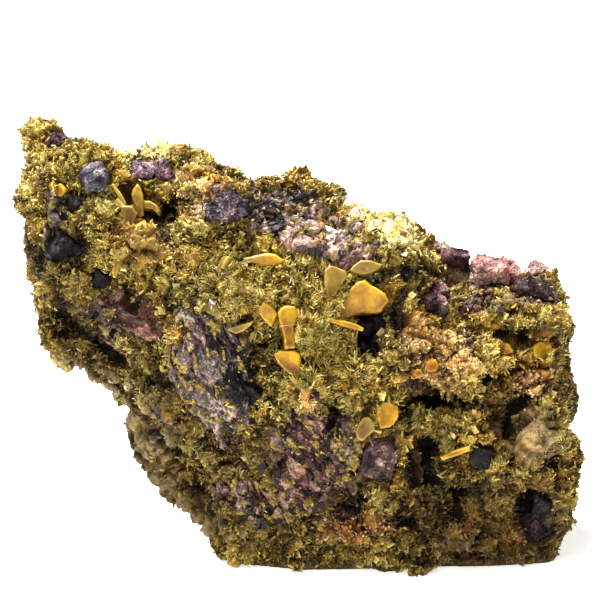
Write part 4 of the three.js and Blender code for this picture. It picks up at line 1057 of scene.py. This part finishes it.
def rock_patch(row, facets_at, flat):
    """A crust on part of the rock: the rock's own surface there, pulled towards its mean plane by
    the share flat and raised by facets_at inside a ragged oval of the layout. Outside the oval, by
    the crystals and where the rock turns away it dives under the rock, and a second sheet deeper
    down closes it. facets_at gives the values of each point too."""
    in_front = (rock_angles[1:-1] > FRONT_ANGLES[0]) & (rock_angles[1:-1] < FRONT_ANGLES[1])
    inside = (oval_reach(rock_across, rock_up, row) < 1.7) & (rock_front > 0.2) & in_front
    rings, spokes = np.nonzero(inside)
    stations = np.linspace(rock_stations[rings.min()], rock_stations[rings.max()], PATCH_STEPS)
    angles = np.linspace(rock_angles[1 + spokes.min()], rock_angles[1 + spokes.max()], PATCH_STEPS)
    points, _ = lumpy_body(stations, angles)
    smooth = grid_normals(smooth_body(stations, angles))
    normals = grid_normals(points)
    folded = np.sum(smooth * normals, axis=-1, keepdims=True) < 0.2
    normals = np.where(folded, smooth, normals)
    wander = 0.34 * value_noise(points, 1.8, 301) + 0.2 * value_noise(points, 0.7, 302)
    reach = np.sqrt(oval_reach(*layout_of(points), row)) + wander
    cover = 1 - smoothstep(0.75, 1.1, reach)
    cover *= 1 - smoothstep(-0.2, 0.5, inside_crystals(points))
    cover *= smoothstep(0.25, 0.5, -(normals @ ALONG))
    chosen = points[cover > 0.5]
    middle = chosen.mean(axis=0)
    facing = np.linalg.svd(chosen - middle, full_matrices=False)[2][2]
    facing = facing * np.sign(np.mean(normals[cover > 0.5] @ facing))
    level = np.sum((points - middle) * facing, axis=-1, keepdims=True)
    flattened = points - flat * cover[..., None] * np.clip(level, -2.5, 2.5) * facing
    height, values = facets_at(points)
    dive = RIM_DIVE + FAR_DIVE * smoothstep(1.05, 1.5, reach)
    outer = flattened + unit((1 - flat) * normals + flat * facing) * (height * cover)[..., None]
    outer = set_behind_crystals(outer - smooth * (dive * (1 - cover))[..., None])
    inner = set_behind_crystals(points - smooth * (PATCH_THICKNESS + dive)[..., None])
    sheet = np.concatenate([outer.reshape(-1, 3), inner.reshape(-1, 3)])
    number = np.arange(PATCH_STEPS ** 2).reshape(PATCH_STEPS, PATCH_STEPS)
    quads = np.stack([number[:-1, :-1], number[1:, :-1], number[1:, 1:], number[:-1, 1:]], axis=-1)
    quads = quads.reshape(-1, 4)
    border = np.concatenate([number[0, :-1], number[:-1, -1], number[-1, :0:-1], number[:0:-1, 0]])
    onward = np.roll(border, -1)
    wall = np.stack([border, onward, onward + number.size, border + number.size], axis=1)
    faces = np.concatenate([quads, quads[:, ::-1] + number.size, wall])
    triangles = np.concatenate([faces[:, [0, 1, 2]], faces[:, [0, 2, 3]]])
    return sheet, triangles, {key: np.tile(value.ravel(), 2) for key, value in values.items()}


def blocks(coarse, fine, turn=0, share=1.0, rise=0.9, druse=0.0, salt=401, rough=0.5, dark=()):
    """Cleaved blocks, coarse with fine ones on them, drawn out along a turned direction. Each has
    its tilt, its step, its tone and its lean to blue or rose, and the ovals of dark are darker. The
    druse lies in patches drawn out the same way, and more of it where druse is higher."""
    def facets_at(points):
        """The height of the blocks at each point, and its values."""
        bent = bent_by(points, 0.24, 1.1, salt + 60)
        place = drawn_out(bent, turn, share)
        steps, gap, tone = tilted_facets(place, coarse, salt)
        small, small_gap, small_tone = tilted_facets(place, fine, salt + 30)
        streak = value_noise(drawn_out(points, turn, 0.2), 0.22, salt + 90)
        patch = value_noise(place, 0.9, salt + 120) + 0.6 * value_noise(place, 0.4, salt + 121)
        bright = smoothstep(0.1, 0.5, value_noise(points, 1.6, salt + 130))
        scratch = 0.7 * bright * (bell(small_gap, 0.06) + smoothstep(0.55, 0.85, streak))
        grown = smoothstep(0.25, 0.6, patch + druse)
        shade = 0.4 * zone_mask(points, 0.2, salt, dark)
        values = {
            "tone": 0.02 + 0.66 * tone + 0.3 * small_tone + 0.16 * streak - shade,
            "hue": 0.5 * tilted_facets(place, coarse, salt + 7)[2] + 0.5 * small_tone,
            "scratch": np.clip(scratch, 0, 1),
            "druse": 0.15 + 0.7 * grown,
        }
        height = rise + rough * (steps - 0.5 * bell(gap, 0.08)) + 0.16 * small + 0.05 * streak
        return height + grown * (0.1 + 0.25 * domes(bent, 0.6, 0.75, salt + 140)), values
    return facets_at


MAROON_FLAT = (-20.5, -0.9, 2.9, 2.0, -8)
CLEAVAGE_LINE = 0.3
ROSE_HUE = 0.62


def pink_flats(points):
    """A broad flat, dusty pink at its left, maroon in a squared oval, and stippled with druse along
    its lower side. Fine level cleavage lines cross it."""
    across, up = layout_of(points)
    reach = oval_reach(across, up, MAROON_FLAT) ** 1.5
    maroon = 1 - smoothstep(0.8, 1.15, reach + 0.25 * value_noise(points, 0.6, 430))
    below = smoothstep(-2.6, -4.0, up + 0.4 * value_noise(points, 1.2, 432))
    line = (up + 0.08 * across + 0.06 * value_noise(points, 0.8, 431)) / CLEAVAGE_LINE
    saw = line - np.floor(line)
    speck = value_noise(points, 0.4, 433) + 0.5 * value_noise(points, 0.2, 434)
    lines = value_noise(drawn_out(points, 2, 0.15), 0.2, 435)
    height = 1.0 + 0.05 * saw - 0.15 * maroon + (0.03 + 0.15 * below) * speck
    values = {
        "tone": 0.64 - 0.4 * maroon + 0.14 * lines + 0.1 * speck + 0.12 * value_noise(points, 1.2, 436),
        "hue": np.full(across.shape, ROSE_HUE),
        "scratch": maroon * smoothstep(0.35, 0.8, lines) * 0.4,
        "druse": 0.1 + 0.3 * below + 0.2 * bell(reach - 1.0, 0.1),
    }
    return height, values


# The black, violet, lilac and frosted tones of each fluorite, its roughness and its share of druse.
MASS_FLUORITES = {
    "rose": ((22, 12, 10), (46, 27, 21), (98, 70, 59), (162, 134, 114), 0.42, 0.7),
    "streaked": ((11, 8, 11), (44, 36, 39), (88, 75, 72), (168, 156, 146), 0.3, 0.9),
    "lilac": ((13, 10, 14), (76, 62, 65), (146, 122, 114), (226, 202, 186), 0.3, 0.85),
    "purple": ((12, 7, 10), (40, 26, 30), (80, 58, 54), (160, 138, 122), 0.3, 0.9),
    "dark": ((6, 4, 6), (17, 12, 15), (42, 34, 36), (120, 108, 106), 0.25, 0.6),
}
STREAK_DARK = [(-7.1, -9.8, 1.5, 4.6, 16, 0.9), (-9.2, -4.8, 1.1, 1.2, 0, 0.6)]
BAND_DARK = [
    (-4.4, 9.8, 1.8, 1.5, 0, 0.8), (1.8, 6.6, 1.6, 1.0, -20, 0.7), (6.2, 5.4, 1.6, 1.1, -30, 0.6),
    (-2.8, 8.6, 1.0, 1.6, 0, 0.6),
]
# Name, fluorite, flatness, oval and facets of each mass.
MASSES = [
    ("fluorite_pink_face", "rose", 1.0, (-20.2, -2.1, 5.2, 3.2, -42), pink_flats),
    ("fluorite_streaked_mass", "streaked", 0.3, (-10.0, -8.4, 4.8, 8.4, 15),
     blocks(1.6, 0.5, -68, 0.3, 0.8, -0.05, 441, 0.32, STREAK_DARK)),
    ("fluorite_crest_band", "lilac", 0.15, (1.4, 8.2, 7.8, 3.1, -17),
     blocks(1.7, 0.6, 0, 1.0, 0.8, -0.2, 481, 0.4, BAND_DARK)),
    ("fluorite_low_mass", "purple", 0.3, (1.6, -18.4, 5.4, 6.8, 8),
     blocks(1.1, 0.4, -50, 0.4, 0.7, 0.0, 521, 0.4)),
    ("low_strip", "purple", 0.2, (-4.8, -23.6, 6.4, 2.7, -8),
     blocks(0.9, 0.35, -64, 0.5, 0.5, 0.1, 561, 0.4)),
    ("valley_floor", "purple", 0.2, (21.4, -0.7, 3.0, 1.5, -4),
     blocks(0.9, 0.35, 80, 0.5, 0.8, -0.1, 601, 0.4)),
    ("left_strip", "streaked", 0.2, (-13.6, -9.8, 2.4, 6.6, 18),
     blocks(1.2, 0.4, -66, 0.4, 0.5, 0.3, 641, 0.35)),
    ("left_edge", "dark", 0.2, (-28.9, 8.8, 2.2, 4.2, 0),
     blocks(1.5, 0.5, -70, 0.6, 0.6, 0.0, 681, 0.5)),
]
mass_finishes = {name: fluorite_finish(name + " fluorite", *row) for name, row in MASS_FLUORITES.items()}
for name, fluorite, flat, row, facets_at in MASSES:
    points, triangles, values = rock_patch(row, facets_at, flat)
    add_piece(
        "broken_" + name, points, triangles, mass_finishes[fluorite], values,
        [name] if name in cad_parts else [])

# ---- Fluorite crystals -------------------------------------------------------------------------
# Single cubes with cut corners and small groups of them stand half out of the druse: near black
# and glassy on the left and in the hollows, rosy along the crest at the right.
def merged_copy(node):
    """The node's solid as a new mesh, with its doubles merged and each flat side made one face
    before it is cut into triangles."""
    shape = bmesh.new()
    shape.from_mesh(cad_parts[node].data)
    bmesh.ops.remove_doubles(shape, verts=shape.verts, dist=1e-6)
    bmesh.ops.dissolve_limit(shape, angle_limit=math.radians(2), verts=shape.verts, edges=shape.edges)
    bmesh.ops.triangulate(shape, faces=shape.faces)
    mesh = bpy.data.meshes.new(node + "_crystal")
    shape.to_mesh(mesh)
    shape.free()
    return mesh


def remeshed_copy(node, voxel, rounds):
    """The node's solid remeshed in small voxels and smoothed for some rounds. Gives the mesh, its
    points in millimetres of the frame and its normals."""
    piece = bpy.data.objects.new("remesh", merged_copy(node))
    bpy.context.scene.collection.objects.link(piece)
    skin = piece.modifiers.new("skin", "REMESH")
    skin.mode = "VOXEL"
    skin.voxel_size = voxel * MM
    soften = piece.modifiers.new("soften", "SMOOTH")
    soften.factor = 0.5
    soften.iterations = rounds
    evaluated = piece.evaluated_get(bpy.context.evaluated_depsgraph_get())
    mesh = bpy.data.meshes.new_from_object(evaluated)
    bpy.data.objects.remove(piece)
    mesh.name = node + "_crystal"
    count = len(mesh.vertices)
    places, normals = np.empty(3 * count), np.empty(3 * count)
    mesh.vertices.foreach_get("co", places)
    mesh.vertices.foreach_get("normal", normals)
    return mesh, places.reshape(-1, 3) / MM, normals.reshape(-1, 3)


CRYSTAL_VOXEL = 0.12


def cleaved_copy(node, rough):
    """A fluorite crystal with worn edges and, on its faces, fine tilted steps and noise."""
    mesh, points, normals = remeshed_copy(node, CRYSTAL_VOXEL, 2)
    steps, gap, tone = tilted_facets(points, 0.9, 701)
    small = tilted_facets(points, 0.4, 731)[0]
    rise = rough * (0.12 * steps + 0.07 * small + 0.06 * value_noise(points, 0.5, 761))
    points = points + normals * rise[:, None]
    mesh.vertices.foreach_set("co", (points * MM).ravel())
    set_values(mesh, {
        "tone": 0.35 + 0.3 * tone + 0.25 * value_noise(points, 1.6, 771),
        "hue": 0.5 + 0.5 * value_noise(points, 2.0, 775),
        "scratch": 0.5 * bell(gap, 0.04) * smoothstep(0.2, 0.6, value_noise(points, 0.8, 781)),
        "druse": 0.3 * value_noise(points, 1.4, 791),
    })
    return mesh


# The same tones and shares as for the fluorites of the masses, for those of the crystals.
CRYSTAL_FLUORITES = {
    "violet": ((12, 8, 12), (50, 38, 47), (120, 98, 106), (226, 206, 206), 0.26, 0.5),
    "navy": ((8, 7, 11), (24, 19, 27), (62, 53, 62), (176, 164, 164), 0.24, 0.4),
    "black": ((3, 2, 3), (6, 4, 5), (15, 11, 13), (70, 62, 62), 0.22, 0.15),
    "frosted": ((10, 8, 14), (30, 25, 36), (84, 77, 86), (188, 180, 182), 0.24, 0.5),
    "dusky": ((13, 7, 9), (40, 25, 28), (84, 60, 60), (190, 166, 154), 0.28, 0.7),
    "rosy": ((58, 38, 40), (124, 92, 88), (174, 142, 134), (232, 208, 192), 0.36, 0.6),
}
# Fluorite, slot and roughness of the faces of each group of crystals; the rest are black.
CRYSTAL_LOOKS = {
    "octagon": ("frosted", "dark_fluorite", 0.8),
    "blue": ("navy", "dark_fluorite", 1.2),
    "crest_left": ("violet", "pink_fluorite", 1.0),
    "right_triangle": ("dusky", "dark_fluorite", 1.0),
    "low_group": ("dusky", "dark_fluorite", 1.0),
    "low_left": ("dusky", "dark_fluorite", 1.0),
    "top_left": ("dusky", "pink_fluorite", 1.2),
    "column": ("dusky", "pink_fluorite", 1.2),
    "valley": ("dusky", "pink_fluorite", 1.2),
    "far_right": ("rosy", "pink_fluorite", 1.3),
    "back_right": ("rosy", "pink_fluorite", 1.3),
}
BLACK_LOOK = ("black", "dark_fluorite", 0.6)
crystal_finishes = {
    name: fluorite_finish(name + " fluorite", *row) for name, row in CRYSTAL_FLUORITES.items()
}
for node in sorted(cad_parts):
    if node.startswith("fluorite_") and node not in MASS_NODES:
        fluorite, slot_name, rough = CRYSTAL_LOOKS.get(node.removeprefix("fluorite_"), BLACK_LOOK)
        mesh = cleaved_copy(node, rough)
        place_piece(mesh.name, mesh, crystal_finishes[fluorite], [node])

# ---- Wulfenite crystals ------------------------------------------------------------------------
# Tabular wulfenite stands on the needles as thick honey-yellow plates and blades. Their faces are wax-like
# and a little uneven, their rims painted paler as a highlight, their lower parts painted darker as shade,
# and some are coated with olive druse.
PLATE_VOXEL = 0.13


def waxy_copy(node):
    """A plate with soft edges, moved along its normals by noise in lumps of one millimetre and of a third
    of one. Each point keeps how low on the plate it lies, from 0 to 1, for the painted shade of its finish."""
    mesh, points, normals = remeshed_copy(node, PLATE_VOXEL, 3)
    rise = 0.05 * value_noise(points, 1.3, 601) + 0.02 * value_noise(points, 0.35, 602)
    points = points + normals * rise[:, None]
    mesh.vertices.foreach_set("co", (points * MM).ravel())
    height = points @ (UPWARD + 0.3 * ACROSS)
    set_values(mesh, {"low": (height.max() - height) / np.ptp(height)})
    mesh.shade_smooth()
    return mesh


def wulfenite_finish(name, deep, honey, bright, rim, coat_share):
    """Honey-yellow wulfenite: soft clouds of tone, painted shade darker low on each plate, paler sharp
    edges as a painted highlight, light carried under the skin and, where coat_share says so, a skin of
    olive druse."""
    finish = Finish(
        name, honey, 0.4, Subsurface_Weight=0.14, Subsurface_Scale=0.5 * MM, Specular_IOR_Level=0.26,
        Subsurface_Radius=(1.0, 0.7, 0.2))
    # Painted shade: darker low on the plate and lighter high on it.
    tone = finish.plus(finish.noise(2.6, 3, 0.55), finish.value("low"), 0, 1, 0.1, -0.14)
    cloud = finish.ramp(tone, (0.34, deep), (0.5, honey), (0.64, bright))
    # Painted highlight: paler where the edges are sharp.
    painted_edge_highlight = finish.spread(finish.node("NewGeometry", "Pointiness", {}), 0.505, 0.58, 0, 0.6)
    colour = finish.mix(painted_edge_highlight, cloud, rim)
    druse = finish.spread(finish.noise(0.9, 5, 0.7), 0.62 - coat_share, 0.7 - coat_share, 0, 0.9)
    finish.join(finish.mix(druse, colour, (126, 106, 46)), "Base Color")
    finish.bump(finish.noise(0.4, 4, 0.65), 0.05)
    return finish


# The deep, honey, bright and rim tones of each wulfenite, and its share of coat; the rim tone is a painted
# highlight on sharp edges.
WULFENITES = {
    "honey": ((98, 54, 2), (136, 94, 5), (172, 134, 15), (208, 178, 54), -0.1),
    "straw": ((88, 58, 7), (122, 92, 14), (160, 132, 32), (198, 172, 66), -0.06),
    "pale": ((86, 62, 17), (114, 90, 31), (144, 120, 50), (186, 162, 88), -0.02),
    "orange": ((100, 48, 1), (142, 82, 2), (178, 122, 8), (208, 158, 40), -0.1),
    "coated": ((84, 62, 18), (114, 88, 28), (140, 114, 44), (176, 150, 80), 0.1),
}
# Wulfenite and slot of the plates that aren't honey-yellow.
PLATE_LOOKS = {
    "sheaf": ("straw", "wulfenite"),
    "leaning_blade": ("straw", "wulfenite"),
    "small_plate": ("orange", "wulfenite"),
    "smallest_plate": ("orange", "wulfenite"),
    "left_blade": ("pale", "pale_wulfenite"),
    "pale_round": ("pale", "pale_wulfenite"),
    "sliver": ("pale", "pale_wulfenite"),
    "coated_plate": ("coated", "coated_wulfenite"),
    "upper_plate": ("coated", "coated_wulfenite"),
}
HONEY_LOOK = ("honey", "wulfenite")
plate_finishes = {name: wulfenite_finish(name + " wulfenite", *row) for name, row in WULFENITES.items()}
for node in sorted(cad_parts):
    if node.startswith("wulfenite_"):
        wulfenite, slot_name = PLATE_LOOKS.get(node.removeprefix("wulfenite_"), HONEY_LOOK)
        mesh = waxy_copy(node)
        place_piece(mesh.name, mesh, plate_finishes[wulfenite], [node])

# ---- Spongy limonite ---------------------------------------------------------------------------
# The tan mound at the right, the boss beside it and the lip below are porous limonite and clay,
# a crumb of cream and peach grains with pits between them.
CRUMBS = 2000
crumb_weight = rock_masks["sponge"] * (0.2 + rock_front) + 0.35 * rock_masks["pale"]
crumb_weight = (crumb_weight + 0.12 * rock_masks["boss"]) * (1 - hollow)
roots, normals, _ = scatter_on_rock(CRUMBS, crumb_weight, 0.15)
crumb_sizes = mostly_small(CRUMBS, 0.08, 0.14)
points, triangles, number = nuggets(GRAIN, roots, lean_off(normals, 1.0), crumb_sizes, 0.9, 0.2)
crumb_finish = broken_finish(
    "tan crumb", (204, 172, 120), 0.8, 2.0, 0.3, (0.05, (94, 66, 30)), (0.4, (140, 106, 56)),
    (0.75, (174, 142, 88)), (1.0, (208, 180, 124)))
add_piece("limonite_crumb", points, triangles, crumb_finish, {"tone": rng.random(CRUMBS)[number]})
